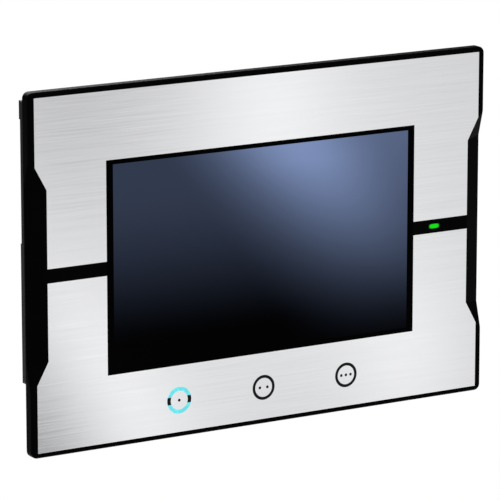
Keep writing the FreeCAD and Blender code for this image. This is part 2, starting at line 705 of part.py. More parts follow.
def make_screw(name, x, z, head_level, length):
    """Cross-recess screw whose head faces the back."""
    head = rod(name + "_head", d.post_radius, "y", (head_level, head_level + d.head_high), x, z)
    shank = rod(name + "_shank", d.pilot_radius, "y", (head_level - length, head_level), x, z)
    solid = fuse(name + "_solid", head, shank)
    across = d.post_radius * RECESS_SHARE
    thin = d.recess_half
    deep = (head_level + d.recess_level, head_level + d.head_high + 1)
    bars = [
        block(name + "_bar_x", (x - across, x + across), deep, (z - thin, z + thin)),
        block(name + "_bar_z", (x - thin, x + thin), deep, (z - across, z + across)),
    ]
    return cut(name, solid, *bars)


def make_inner_fasteners():
    """Screws that hold the chassis and the board, and the posts between them."""
    length = d.chassis_thick + d.screw_bite
    screws = [make_screw("chassis_screw_%d" % i, x, z, chassis_back, length)
              for i, (x, z) in enumerate(boss_places())]
    screws += [make_screw("board_screw_%d" % i, x, z, board_back, length)
               for i, (x, z) in enumerate(post_places())]
    keep(group("inner_screws", screws), "inner_screws")
    posts = []
    for i, (x, z) in enumerate(post_places()):
        shaft = rod("post_shaft_%d" % i, d.post_radius, "y", (chassis_back, d.board_level), x, z)
        bore = rod("post_bore_%d" % i, d.pilot_radius, "y", (chassis_back - 1, d.board_level + 1),
                   x, z)
        posts.append(cut("post_%d" % i, shaft, bore))
    keep(group("board_posts", posts), "board_posts")


def make_main_board():
    """Main circuit board, drilled for its posts."""
    body = new_body("main_board")
    sketch = new_sketch(body, "board_sheet", "XZ_Plane", board_back)
    add_rectangle(sketch, (-d.board_half_wide, d.board_half_wide), (d.board_low, d.board_top))
    pad(body, sketch, d.board_thick)
    sketch = new_sketch(body, "board_holes", "XZ_Plane", d.board_level)
    for x, z in post_places():
        add_circle(sketch, x, z, d.screw_hole)
    pocket(body, sketch, d.board_thick + 1)


def make_board_parts():
    """Chips, capacitors, processor, converter and buzzer on the rear of the board."""
    chips = [block("chip_%d" % i, (x - wide / 2, x + wide / 2),
                   (board_back, board_back + d.chip_thick), (z - high / 2, z + high / 2))
             for i, (x, z, wide, high) in enumerate(CHIPS)]
    keep(group("board_chips", chips), "board_chips")
    cans = [rod("capacitor_%d" % i, radius, "y", (board_back, board_back + tall), x, z)
            for i, (x, z, radius, tall) in enumerate(CAPACITORS)]
    keep(group("board_capacitors", cans), "board_capacitors")
    half = d.processor_half
    keep(block("processor", (-half, half), (board_back, d.sink_level),
               (d.processor_z - half, d.processor_z + half)), "processor")
    shell = block("converter_shell", (d.converter_left, d.converter_right),
                  (board_back, board_back + d.converter_high),
                  (d.converter_low, d.converter_top))
    keep(round_edges("power_converter", shell, d.converter_corner,
                     lambda edge: along(edge, Y_AXIS)), "power_converter")
    top = board_back + d.buzzer_high
    drum = rod("buzzer_drum", d.buzzer_radius, "y", (board_back, top), d.buzzer_x, d.buzzer_z)
    hole = rod("buzzer_port", d.buzzer_hole, "y", (top - d.buzzer_hole_deep, top + 1),
               d.buzzer_x, d.buzzer_z)
    keep(cut("buzzer", drum, hole), "buzzer")


def make_heat_sink():
    """Finned heat sink over the processor."""
    body = new_body("heat_sink")
    sketch = new_sketch(body, "sink_foot", "XZ_Plane", d.sink_level)
    add_rectangle(sketch, (-d.sink_half_wide, d.sink_half_wide), (d.sink_low, d.sink_top))
    pad(body, sketch, d.sink_base, backward=True)
    sketch = new_sketch(body, "fin", "XZ_Plane", d.sink_level + d.sink_base)
    add_rectangle(sketch, (-d.sink_half_wide, -d.sink_half_wide + d.fin_thick),
                  (d.sink_low, d.sink_top))
    fin = pad(body, sketch, d.fin_level - d.sink_level - d.sink_base, backward=True)
    repeat(body, fin, sketch, "H_Axis", d.fin_pitch * (FIN_COUNT - 1), FIN_COUNT)


def make_display_flex():
    """Flat cable from the display, through the chassis slot, to the main board."""
    path = block("flex_front", (d.flex_left, d.flex_right),
                 (chassis_back - d.flex_reach, d.board_level),
                 (d.flex_level - d.flex_thick, d.flex_level))
    keep(path, "display_flex")


# ---- rear case -------------------------------------------------------------------------------

def clamp_places():
    """X, edge Z and direction of every clamp: two above and two below."""
    return [
        (-d.clamp_top_x, skirt_z, 1), (d.clamp_top_x, skirt_z, 1),
        (-d.clamp_low_x, -skirt_z, -1), (d.clamp_low_x, -skirt_z, -1),
    ]


def connector_holes():
    """X centre, half width and Y range of each hole in the underside."""
    first = d.row_front
    nets = [(d.net_first_x + d.net_pitch * i, d.net_half, (first, first + d.net_high))
            for i in range(2)]
    usbs = [(d.usb_first_x + d.usb_pitch * i, d.usb_half, (first, first + d.usb_high))
            for i in range(2)]
    return nets + usbs + [
        (d.power_x, d.power_half, (first, first + d.power_high)),
        (d.serial_x, d.nut_pitch / 2 - d.nut_side, (first + 1, first + d.serial_high - 1)),
        (d.switch_x, d.switch_half, (first, first + d.switch_high)),
        (d.device_x, d.device_half, (first, first + d.device_high)),
    ]


def make_rear_case():
    """Deep shell behind the panel, with the connector row in its underside."""
    body = new_body("rear_case")
    sketch = new_sketch(body, "case_outline", "XZ_Plane", d.skirt_deep)
    add_rectangle(sketch, (-skirt_x, skirt_x), (d.case_low, skirt_z))
    pad(body, sketch, d.case_back - d.skirt_deep, backward=True)
    fillet(body, "case_corners", d.case_corner, lambda edge: along(edge, Y_AXIS))
    sketch = new_sketch(body, "close_plate", "XZ_Plane", d.skirt_deep)
    add_rectangle(sketch, (-skirt_x, skirt_x), (-skirt_z, case_ceiling))
    pad(body, sketch, d.close_thick, backward=True)
    for name, side in (("left", -1), ("right", 1)):
        sketch = new_sketch(body, name + "_step", "XZ_Plane", d.case_back)
        near = d.step_x * side
        far = (skirt_x - d.step_inset) * side
        add_rectangle(sketch, (near, far) if side > 0 else (far, near),
                      (d.case_low + d.step_inset, d.step_top))
        pad(body, sketch, d.step_back - d.case_back, backward=True)
        sketch = new_sketch(body, name + "_pedestal", "XZ_Plane", d.skirt_deep + d.close_thick)
        middle = d.clamp_low_x * side
        half = d.arm_outer + d.pedestal_margin
        add_rectangle(sketch, (middle - half, middle + half),
                      (-skirt_z, d.case_low))
        pad(body, sketch, d.arm_back + 1 - d.skirt_deep - d.close_thick, backward=True)
    sketch = new_sketch(body, "top_lip", "XZ_Plane", d.case_back)
    lip_x = skirt_x - d.step_inset
    add_rectangle(sketch, (-lip_x, lip_x), (d.lip_low, skirt_z - d.step_inset))
    pad(body, sketch, d.lip_back - d.case_back, backward=True)
    sketch = new_sketch(body, "case_hollow", "XZ_Plane", d.skirt_deep)
    add_rectangle(sketch, (-inside_x, inside_x), (case_ceiling, inside_z))
    pocket(body, sketch, d.case_back - d.wall - d.skirt_deep)
    sketch = new_sketch(body, "case_columns", "XZ_Plane", d.case_back - d.wall)
    for x, z in case_screw_places():
        add_circle(sketch, x, z, d.column_radius)
    pad(body, sketch, d.case_back - d.wall - chassis_back)
    sketch = new_sketch(body, "hatch", "XZ_Plane", d.case_back - d.wall)
    add_rectangle(sketch, (-d.hatch_half_wide, d.hatch_half_wide),
                  (-d.hatch_half_high, d.hatch_half_high))
    pocket(body, sketch, d.wall + 1)
    cut_case_openings(body)


def cut_case_openings(body):
    """Holes for connectors, reset button, clamp hooks, memory card, screws and cooling air."""
    sketch = new_sketch(body, "connector_row", "XY_Plane", d.case_low)
    for x, half, span in connector_holes():
        add_rectangle(sketch, (x - half - d.play, x + half + d.play),
                      (span[0] - d.play, span[1] + d.play))
    add_circle(sketch, d.reset_x, d.row_front + d.reset_back, d.reset_radius + d.reset_gap)
    pocket(body, sketch, d.wall, backward=True)
    for i, (x, z, side) in enumerate(clamp_places()):
        sketch = new_sketch(body, "hooks_%d" % i, "XY_Plane", z)
        for arm in (-1, 1):
            inner = x + (d.arm_inner - d.hook_gap) * arm
            outer = x + (d.arm_outer + d.hook_gap) * arm
            add_rectangle(sketch, (inner, outer) if arm > 0 else (outer, inner),
                          (d.hook_front - d.hook_gap, d.hook_back + d.hook_gap))
        pocket(body, sketch, d.hook_deep + d.hook_gap, backward=side < 0)
    sketch = new_sketch(body, "card_mouth", "YZ_Plane", inside_x - 1)
    gap = d.cage_gap
    add_rectangle(sketch, (d.card_front - gap, d.card_front + d.card_thick + gap),
                  (d.card_low - gap, d.card_top + gap))
    pocket(body, sketch, d.wall + 2, backward=True)
    sketch = new_sketch(body, "top_vent", "XY_Plane", skirt_z)
    add_rectangle(sketch, (d.top_vent_start, d.top_vent_start + d.slot_wide),
                  (d.top_vent_front, d.top_vent_back))
    vent = pocket(body, sketch, d.wall)
    repeat(body, vent, sketch, "H_Axis", d.slot_pitch * (TOP_SLOT_COUNT - 1), TOP_SLOT_COUNT)
    sketch = new_sketch(body, "case_screw_holes", "XZ_Plane", chassis_back)
    for x, z in case_screw_places():
        add_circle(sketch, x, z, d.screw_hole)
    pocket(body, sketch, d.case_back - chassis_back)
    sketch = new_sketch(body, "case_screw_wells", "XZ_Plane", d.step_back)
    for x, z in case_screw_places():
        add_circle(sketch, x, z, d.column_radius)
    pocket(body, sketch, d.step_back - d.case_back, backward=True)
    sketch = new_sketch(body, "cover_screw_threads", "XZ_Plane", d.case_back)
    for x, z in cover_screw_places():
        add_circle(sketch, x, z, d.pilot_radius)
    pocket(body, sketch, d.wall, backward=True)


def case_screw_places():
    """Corner screws of the rear case."""
    return [(d.case_screw_x * x, d.case_screw_z * z) for x in (-1, 1) for z in (-1, 1)]


def cover_screw_places():
    """Corner screws of the rear cover."""
    return [(d.cover_screw_x * x, d.cover_screw_z * z) for x in (-1, 1) for z in (-1, 1)]


def make_rear_cover():
    """Vented hood over the hatch, with the battery and expansion openings."""
    body = new_body("rear_cover")
    sketch = new_sketch(body, "hood", "XZ_Plane", cover_front)
    add_rectangle(sketch, (-d.cover_half_wide, d.cover_half_wide), (d.cover_low, d.cover_top))
    pad(body, sketch, d.cover_back - cover_front, backward=True)
    fillet(body, "hood_corners", d.cover_corner, lambda edge: along(edge, Y_AXIS))
    fillet(body, "hood_edge", d.cover_corner / 2,
           lambda edge: edge.BoundBox.YMin > d.cover_back.number - NEAR)
    sketch = new_sketch(body, "hood_hollow", "XZ_Plane", cover_front)
    inner = d.cover_half_wide - d.cover_wall
    add_rectangle(sketch, (-inner, inner), (d.cover_low + d.cover_wall, d.cover_top - d.cover_wall))
    pocket(body, sketch, d.cover_back - cover_front - d.cover_wall)
    sketch = new_sketch(body, "hood_columns", "XZ_Plane", d.cover_back - d.cover_wall)
    for x, z in cover_screw_places():
        add_circle(sketch, x, z, d.column_radius)
    pad(body, sketch, d.cover_back - d.cover_wall - cover_front)
    sketch = new_sketch(body, "hood_openings", "XZ_Plane", d.cover_back - d.cover_wall - 1)
    add_rectangle(sketch, (d.door_left, d.door_right), (d.door_low, d.door_top))
    add_rectangle(sketch, (d.port_left, d.port_right), (d.port_low, d.port_top))
    pocket(body, sketch, d.cover_wall + 2)
    sketch = new_sketch(body, "back_vent", "XZ_Plane", d.cover_back - d.cover_wall - 1)
    slot_x = (d.slot_start, d.slot_start + d.slot_wide)
    slot_row = d.slot_pitch * (SLOT_COUNT - 1)
    add_rectangle(sketch, slot_x, (d.slot_low, d.slot_top))
    vent = pocket(body, sketch, d.cover_wall + 2)
    repeat(body, vent, sketch, "H_Axis", slot_row, SLOT_COUNT)
    sketch = new_sketch(body, "hood_top_vent", "XY_Plane", d.cover_top)
    add_rectangle(sketch, slot_x, (d.side_slot_front, d.side_slot_back))
    vent = pocket(body, sketch, d.cover_wall)
    repeat(body, vent, sketch, "H_Axis", slot_row, SLOT_COUNT)
    sketch = new_sketch(body, "hood_low_vent", "XY_Plane", d.cover_low)
    add_rectangle(sketch, slot_x, (d.side_slot_front, d.side_slot_back))
    vent = pocket(body, sketch, d.cover_wall, backward=True)
    repeat(body, vent, sketch, "H_Axis", slot_row, SLOT_COUNT)
    sketch = new_sketch(body, "hinge_holes", "YZ_Plane", d.door_left - d.pin_reach)
    add_circle(sketch, hinge_y(), hinge_z(), d.hinge_pin)
    pocket(body, sketch, d.door_right - d.door_left + d.pin_reach * 2, backward=True)
    sketch = new_sketch(body, "cover_screw_wells", "XZ_Plane", d.cover_back)
    for x, z in cover_screw_places():
        add_circle(sketch, x, z, d.post_radius + d.well_gap)
    pocket(body, sketch, d.well_deep, backward=True)
    sketch = new_sketch(body, "cover_screw_holes", "XZ_Plane", d.cover_back)
    for x, z in cover_screw_places():
        add_circle(sketch, x, z, d.screw_hole)
    pocket(body, sketch, d.cover_back - cover_front, backward=True)


def hinge_y():
    """Y of the battery door's hinge line."""
    return d.cover_back - d.door_thick / 2


def hinge_z():
    """Z of the battery door's hinge line."""
    return d.door_top - d.door_gap - d.door_thick / 2


def make_case_screws():
    """Screws of the rear case and of the rear cover."""
    long_shank = d.case_back - d.chassis_level + 1
    screws = [make_screw("case_screw_%d" % i, x, z, d.case_back, long_shank)
              for i, (x, z) in enumerate(case_screw_places())]
    short_shank = d.cover_back - d.case_back + 1
    screws += [make_screw("cover_screw_%d" % i, x, z, d.cover_back - d.well_deep, short_shank)
               for i, (x, z) in enumerate(cover_screw_places())]
    keep(group("case_screws", screws), "case_screws")


def make_battery():
    """Tray, cell, hinge pin and hinged door of the battery compartment."""
    grow = d.tray_wall
    back = d.cover_back - d.cover_wall
    outer = block("tray_outer", (d.door_left - grow, d.door_right + grow), (d.tray_front, back),
                  (d.door_low - grow, d.door_top + grow))
    inner = block("tray_inner", (d.door_left, d.door_right), (d.tray_front + grow, back + 1),
                  (d.door_low, d.door_top))
    keep(cut("battery_holder", outer, inner), "battery_holder")
    middle = (d.door_left + d.door_right) / 2
    level = d.tray_front + grow + d.cell_radius
    can = rod("cell_can", d.cell_radius, "x", (middle - d.cell_long / 2, middle + d.cell_long / 2),
              level, (d.door_low + d.door_top) / 2)
    tip = rod("cell_tip", d.cell_radius / 3, "x",
              (middle + d.cell_long / 2, middle + d.cell_long / 2 + d.cell_tip),
              level, (d.door_low + d.door_top) / 2)
    keep(fuse("battery", can, tip), "battery")
    keep(rod("battery_door_pin", d.hinge_pin, "x",
             (d.door_left - d.pin_reach, d.door_right + d.pin_reach),
             hinge_y(), hinge_z()), "battery_door_pin")
    left = d.door_left + d.door_gap
    right = d.door_right - d.door_gap
    leaf = block("door_leaf", (left, right), (d.cover_back - d.door_thick, d.cover_back),
                 (d.door_low + d.door_gap, hinge_z()))
    barrel = rod("door_barrel", d.door_thick / 2, "x", (left, right), hinge_y(), hinge_z())
    bore = rod("door_bore", d.hinge_hole, "x", (left - 1, right + 1), hinge_y(), hinge_z())
    grip = rod("door_grip", d.grip_radius, "y", (d.cover_back - d.grip_deep, d.cover_back + 1),
               middle, d.door_low + d.grip_z)
    keep(cut("battery_door", fuse("door_solid", leaf, barrel), bore, grip), "battery_door")


def make_expansion_port():
    """Board connector behind the rear cover and the cover that pulls off it."""
    level = d.cover_back - d.cover_wall
    middle_z = (d.port_low + d.port_top) / 2
    sides = [(d.port_left + inset, d.port_right - inset)
             for inset in (d.port_block_side, d.port_slot_side, d.port_tongue_side)]
    heights = [(middle_z - half, middle_z + half)
               for half in (d.port_block_half, d.port_slot_half, d.port_tongue_half)]
    floor = level - d.port_slot_deep
    body_block = block("port_block", sides[0], (board_back, level - d.port_block_gap),
                       heights[0])
    slot = block("port_slot", sides[1], (floor, level - d.port_block_gap + 1), heights[1])
    tongue = block("port_tongue", sides[2], (floor, level - d.port_tongue_gap), heights[2])
    keep(fuse("expansion_socket", cut("port_hollow", body_block, slot), tongue),
         "expansion_socket")
    gap = d.door_gap
    lid = block("lid_plate", (d.port_left + gap, d.port_right - gap),
                (d.cover_back - d.door_thick, d.cover_back),
                (d.port_low + gap, d.port_top - gap))
    notch = block("lid_notch", (d.port_right - d.notch_far, d.port_right - d.notch_near),
                  (d.cover_back - d.grip_deep, d.cover_back + 1),
                  (middle_z - d.notch_half, middle_z + d.notch_half))
    keep(cut("expansion_cover", lid, notch), "expansion_cover")


def make_rating_label():
    """Blank label on the back."""
    plain = block("label_sheet", (d.label_left, d.label_right),
                  (d.cover_back, d.cover_back + d.label_thick), (d.label_low, d.label_top))
    keep(round_edges("rating_label", plain, d.label_corner, lambda edge: along(edge, Y_AXIS)),
         "rating_label")


# ---- connectors ------------------------------------------------------------------------------

def make_network_ports():
    """Two equal network sockets that open downwards."""
    first = d.row_front
    ports = []
    for i in range(2):
        x = d.net_first_x + d.net_pitch * i
        shell = block("net_shell_%d" % i, (x - d.net_half, x + d.net_half),
                      (first, first + d.net_high), (row_face, row_face + d.net_long))
        hole_y = first + d.net_wall
        mouth = block("net_mouth_%d" % i, (x - d.net_hole_half, x + d.net_hole_half),
                      (hole_y, hole_y + d.net_hole_high),
                      (row_face - 1, row_face + d.net_hole_deep))
        hole_back = hole_y + d.net_hole_high
        latch = block("net_latch_%d" % i, (x - d.latch_half, x + d.latch_half),
                      (hole_back - 1, hole_back + d.latch_deep),
                      (row_face - 1, row_face + d.net_hole_deep))
        ports.append(cut("net_port_%d" % i, shell, mouth, latch))
    keep(group("network_ports", ports), "network_ports")


def make_usb_ports():
    """Two flat sockets and one square socket."""
    first = d.row_front
    ports = []
    for i in range(2):
        x = d.usb_first_x + d.usb_pitch * i
        shell = block("usb_shell_%d" % i, (x - d.usb_half, x + d.usb_half),
                      (first, first + d.usb_high), (row_face, row_face + d.usb_long))
        mouth = block("usb_mouth_%d" % i, (x - d.usb_half + d.usb_wall, x + d.usb_half - d.usb_wall),
                      (first + d.usb_wall, first + d.usb_high - d.usb_wall),
                      (row_face - 1, row_face + d.usb_long - 1))
        low = first + d.usb_wall + d.usb_tongue_gap
        tongue = block("usb_tongue_%d" % i, (x - d.usb_tongue_half, x + d.usb_tongue_half),
                       (low, low + d.usb_tongue),
                       (row_face + 1, row_face + d.usb_long - 1))
        ports.append(fuse("usb_port_%d" % i, cut("usb_hollow_%d" % i, shell, mouth), tongue))
    keep(group("usb_host_ports", ports), "usb_host_ports")
    x = d.device_x
    shell = block("device_shell", (x - d.device_half, x + d.device_half),
                  (first, first + d.device_high), (row_face, row_face + d.device_long))
    floor = row_face + d.device_long - d.device_floor
    mouth = block("device_mouth", (x - d.device_hole_half, x + d.device_hole_half),
                  (first + d.device_hole_front, first + d.device_hole_back),
                  (row_face - 1, floor))
    tongue = block("device_tongue", (x - d.device_tongue_half, x + d.device_tongue_half),
                   (first + d.device_tongue_front, first + d.device_tongue_back),
                   (row_face + 1, floor))
    keep(fuse("usb_device_port", cut("device_hollow", shell, mouth), tongue), "usb_device_port")


def serial_middle():
    """Y of the middle of the serial connector."""
    return d.row_front + d.serial_high / 2 + d.serial_lift


def serial_outline(inset):
    """D-shaped outline of the serial shell, in X and Y."""
    x = d.serial_x
    y = serial_middle()
    top = d.serial_wide_half - inset
    low = d.serial_narrow_half - inset
    tall = d.serial_tall_half - inset
    return [(x - top, y - tall), (x + top, y - tall), (x + low, y + tall), (x - low, y + tall)]


def make_serial_port():
    """Nine-way serial connector: plated shell, insulator and two jack nuts."""
    body = new_body("serial_port")
    flange_level = row_face
    half_y = (d.row_front + d.serial_lift, d.row_front + d.serial_high + d.serial_lift)
    x = (d.serial_x - d.serial_half, d.serial_x + d.serial_half)
    sketch = new_sketch(body, "serial_flange", "XY_Plane", flange_level)
    add_rectangle(sketch, x, half_y)
    pad(body, sketch, d.socket_proud)
    sketch = new_sketch(body, "serial_shell", "XY_Plane", flange_level)
    add_polygon(sketch, serial_outline(0))
    pad(body, sketch, d.serial_shell, backward=True)
    fillet(body, "serial_corners", d.serial_corner, lambda edge: along(edge, Z_AXIS)
           and edge.BoundBox.ZMax < flange_level.number + NEAR)
    sketch = new_sketch(body, "serial_hollow", "XY_Plane", flange_level - d.serial_shell)
    add_polygon(sketch, serial_outline(d.serial_wall))
    pocket(body, sketch, d.serial_shell + d.socket_proud, backward=True)
    sketch = new_sketch(body, "serial_nut_holes", "XY_Plane", flange_level)
    for side in (-1, 1):
        add_circle(sketch, d.serial_x + d.nut_pitch / 2 * side,
                   serial_middle(), d.nut_clear)
    pocket(body, sketch, d.socket_proud, backward=True)
    make_serial_insert(flange_level)
    make_jack_nuts(flange_level)


def make_serial_insert(flange_level):
    """Insulator with two rows of contact holes."""
    body = new_body("serial_insert")
    face = flange_level - d.serial_shell + d.serial_wall
    sketch = new_sketch(body, "insert_block", "XY_Plane", face)
    add_polygon(sketch, serial_outline(d.serial_wall + d.play))
    pad(body, sketch, d.serial_shell + d.insert_long)
    sketch = new_sketch(body, "contact_holes", "XY_Plane", face)
    for count, side in ((5, -1), (4, 1)):
        for i in range(count):
            add_circle(sketch, d.serial_x + d.contact_pitch * (i - (count - 1) / 2),
                       serial_middle() + d.contact_row * side, d.contact_hole)
    pocket(body, sketch, d.contact_deep, backward=True)


def make_jack_nuts(flange_level):
    """Hexagonal nuts that take the cable's thumb screws."""
    nuts = []
    for i, side in enumerate((-1, 1)):
        x = d.serial_x + d.nut_pitch / 2 * side
        y = serial_middle()
        prism = doc.addObject("Part::Prism", "nut_prism_%d" % i)
        prism.Polygon = 6
        bind(prism, "Circumradius", d.nut_radius)
        bind(prism, "Height", d.nut_long)
        bind(prism, "Placement.Base.x", x)
        bind(prism, "Placement.Base.y", y)
        bind(prism, "Placement.Base.z", flange_level - d.nut_long)
        hole = rod("nut_hole_%d" % i, d.nut_hole, "z",
                   (flange_level - d.nut_long - 1, flange_level + 1), x, y)
        nuts.append(cut("nut_%d" % i, prism, hole))
    keep(group("serial_jack_nuts", nuts), "serial_jack_nuts")


def make_power_connector():
    """Power header, its pull-off plug and the plug's terminal screws."""
    first = d.row_front
    x = d.power_x
    shell = block("power_shell", (x - d.power_half, x + d.power_half),
                  (first, first + d.power_high), (row_face, row_face + d.power_long))
    plug_x = (x - d.plug_half, x + d.plug_half)
    front = first + d.plug_front
    back = front + d.plug_high
    gap = d.plug_gap
    room = block("power_room", (plug_x[0] - gap, plug_x[1] + gap), (front - gap, back + gap),
                 (row_face - 1, row_face + d.plug_in + d.plug_depth_gap))
    keep(cut("power_socket", shell, room), "power_socket")
    low = row_face - d.plug_out
    middle = front + d.plug_high / 2
    plug = block("plug_block", plug_x, (front, back), (low, row_face + d.plug_in))
    level = low + d.terminal_z
    head_front = back - d.terminal_well_deep
    head_back = head_front + d.terminal_high
    holes = []
    screws = []
    for i in range(3):
        pin_x = x + d.pin_pitch * (i - 1)
        holes.append(rod("wire_hole_%d" % i, d.wire_radius, "z", (low - 1, low + d.wire_deep),
                         pin_x, middle))
        holes.append(rod("screw_well_%d" % i, d.terminal_well, "y", (head_front, back + 1),
                         pin_x, level))
        head = rod("terminal_head_%d" % i, d.terminal_radius, "y", (head_front, head_back),
                   pin_x, level)
        groove = block("terminal_groove_%d" % i,
                       (pin_x - d.terminal_radius - 1, pin_x + d.terminal_radius + 1),
                       (head_back - d.groove_deep, back),
                       (level - d.groove_half, level + d.groove_half))
        screws.append(cut("terminal_screw_%d" % i, head, groove))
    keep(cut("power_plug", plug, *holes), "power_plug")
    keep(group("power_plug_screws", screws), "power_plug_screws")


def make_small_controls():
    """Sprung reset button, and the end-of-line switch with its lever."""
    y = d.row_front + d.reset_back
    collar_low = case_ceiling + d.collar_gap
    collar_top = collar_low + d.collar_thick
    stem = rod("reset_stem", d.reset_radius, "z", (d.case_low - d.reset_proud, collar_top),
               d.reset_x, y)
    collar = rod("reset_collar", d.reset_radius + d.collar_rim, "z", (collar_low, collar_top),
                 d.reset_x, y)
    keep(fuse("reset_button", stem, collar), "reset_button")
    x = d.switch_x
    first = d.row_front
    last = first + d.switch_high
    shell = block("switch_shell", (x - d.switch_half, x + d.switch_half), (first, last),
                  (d.case_low - d.switch_proud, d.case_low + d.switch_deep))
    room = block("switch_room", (x - d.switch_hole_half, x + d.switch_hole_half),
                 (first + d.switch_rim, last - d.switch_rim),
                 (d.case_low - 1, d.case_low + d.switch_hole_deep))
    keep(cut("end_switch_body", shell, room), "end_switch_body")
    lever_y = (first + d.lever_margin, last - d.lever_margin - d.switch_travel)
    keep(block("end_switch_lever", (x - d.lever_half, x + d.lever_half), lever_y,
               (d.case_low - d.lever_proud, d.case_low + d.lever_deep)), "end_switch_lever")


def make_card():
    """Memory card and the sheet-metal cage that holds it."""
    gap = d.cage_gap
    side = d.cage_wall
    right = skirt_x + d.card_proud
    left = right - d.card_long
    cage = block("cage_sheet", (left - d.cage_end, inside_x - d.cage_end),
                 (d.card_front - gap - side, d.card_front + d.card_thick + gap + side),
                 (d.card_low - gap - side, d.card_top + gap + side))
    room = block("cage_room", (left - d.cage_end + 2, inside_x + 1),
                 (d.card_front - gap, d.card_front + d.card_thick + gap),
                 (d.card_low - gap, d.card_top + gap))
    keep(cut("card_slot", cage, room), "card_slot")
    body = new_body("memory_card")
    sketch = new_sketch(body, "card_face", "XZ_Plane", d.card_front)
    add_polygon(sketch, [(left, d.card_low), (right, d.card_low), (right, d.card_top),
                         (left + d.card_corner, d.card_top), (left, d.card_top - d.card_corner)])
    pad(body, sketch, d.card_thick, backward=True)


# ---- clamp brackets --------------------------------------------------------------------------

def make_bracket(index, x, z, side):
    """Steel bracket: threaded leg, two arms along the case and a hook at each arm's end."""
    def zs(low, high):
        first = z + as_size(low) * side
        second = z + as_size(high) * side
        return (first, second) if side > 0 else (second, first)

    play = d.clamp_play
    name = "bracket_%d" % index
    leg = block(name + "_leg", (x - d.arm_outer, x + d.arm_outer),
                (d.leg_level, d.leg_level + d.leg_thick), zs(play, d.leg_high))
    pieces = [leg]
    for arm in (-1, 1):
        inner = x + d.arm_inner * arm
        outer = x + d.arm_outer * arm
        span = (inner, outer) if arm > 0 else (outer, inner)
        pieces.append(block("%s_arm_%d" % (name, arm + 1), span,
                            (d.leg_level, d.arm_back), zs(play, d.arm_high)))
        pieces.append(block("%s_hook_%d" % (name, arm + 1), span,
                            (d.hook_front, d.hook_back), zs(-d.hook_deep, d.arm_high)))
    solid = fuse(name + "_solid", *pieces)
    bore = rod(name + "_bore", d.thread_hole, "y",
               (d.leg_level - 1, d.leg_level + d.leg_thick + 1), x, z + d.clamp_axis * side)
    return cut(name, solid, bore)


def make_clamp_screw(index, x, z):
    """Clamp screw with a hexagonal socket in its head."""
    name = "clamp_screw_%d" % index
    tip_end = d.foot_level + d.foot_thick + d.tip_gap
    shaft_end = d.foot_level + d.cup_long + d.shaft_gap
    tip = rod(name + "_tip", d.tip_radius, "y", (tip_end, shaft_end), x, z)
    shaft = rod(name + "_shaft", d.thread_radius, "y", (shaft_end, d.head_level), x, z)
    head = rod(name + "_head", d.head_radius, "y", (d.head_level, d.head_level + d.head_thick),
               x, z)
    socket = doc.addObject("Part::Prism", name + "_socket")
    socket.Polygon = 6
    socket.Placement.Rotation = Rotation(X_AXIS, -90)
    bind(socket, "Circumradius", d.head_radius * SOCKET_SHARE)
    bind(socket, "Height", d.head_thick)
    bind(socket, "Placement.Base.x", x)
    bind(socket, "Placement.Base.y", d.head_level + 1)
    bind(socket, "Placement.Base.z", z)
    keep(cut(name, fuse(name + "_solid", tip, shaft, head), socket), name)


def make_clamp_foot(index, x, z):
    """Pressure foot that turns on the tip of the clamp screw."""
    name = "clamp_foot_%d" % index
    disc = rod(name + "_disc", d.foot_radius, "y",
               (d.foot_level, d.foot_level + d.foot_thick), x, z)
    cup = rod(name + "_cup", d.cup_radius, "y",
              (d.foot_level, d.foot_level + d.cup_long), x, z)
    bore = rod(name + "_bore", d.tip_hole, "y",
               (d.foot_level + d.foot_thick, d.foot_level + d.cup_long + 1), x, z)
    keep(cut(name, fuse(name + "_solid", disc, cup), bore), name)


def make_clamps():
    """Four brackets in one group, each with its own screw and foot."""
    brackets = []
    for index, (x, z, side) in enumerate(clamp_places(), 1):
        brackets.append(make_bracket(index, x, z, side))
        axis_z = z + d.clamp_axis * side
        make_clamp_screw(index, x, axis_z)
        make_clamp_foot(index, x, axis_z)
    keep(group("clamp_brackets", brackets), "clamp_brackets")


# ---- build and write -------------------------------------------------------------------------

def build():
    """Every sub-part, from the front to the back."""
    make_front_bezel()
    make_panel_gasket()
    make_trim_plates()
    make_key_marks()
    make_key_electronics()
    make_status_light()
    make_window()
    make_display()
    make_chassis()
    make_inner_fasteners()
    make_main_board()
    make_board_parts()
    make_heat_sink()
    make_display_flex()
    make_rear_case()
    make_rear_cover()
    make_case_screws()
    make_battery()
    make_expansion_port()
    make_rating_label()
    make_network_ports()
    make_usb_ports()
    make_serial_port()
    make_power_connector()
    make_small_controls()
    make_card()
    make_clamps()


def check_and_write():
    """Stops on any failed object or bad shape, then writes one file for each sub-part."""
    doc.recompute()
    for item in doc.Objects:
        if "Invalid" in item.State or "Error" in item.State:
            raise RuntimeError("%s failed: %s" % (item.Name, item.State))
    os.makedirs("parts", exist_ok=True)
    for item in sub_parts:
        if item.Shape.isNull() or not item.Shape.isValid():
            raise RuntimeError("%s has no valid shape" % item.Label)
        item.Shape.exportStep("parts/%s.step" % item.Label)
        box = item.Shape.BoundBox
        print("%-20s %2d solids %10.1f mm3  x %.1f..%.1f  y %.1f..%.1f  z %.1f..%.1f" % (
            item.Label, len(item.Shape.Solids), item.Shape.Volume,
            box.XMin, box.XMax, box.YMin, box.YMax, box.ZMin, box.ZMax))


build()
check_and_write()
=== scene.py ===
import json
import math
import random

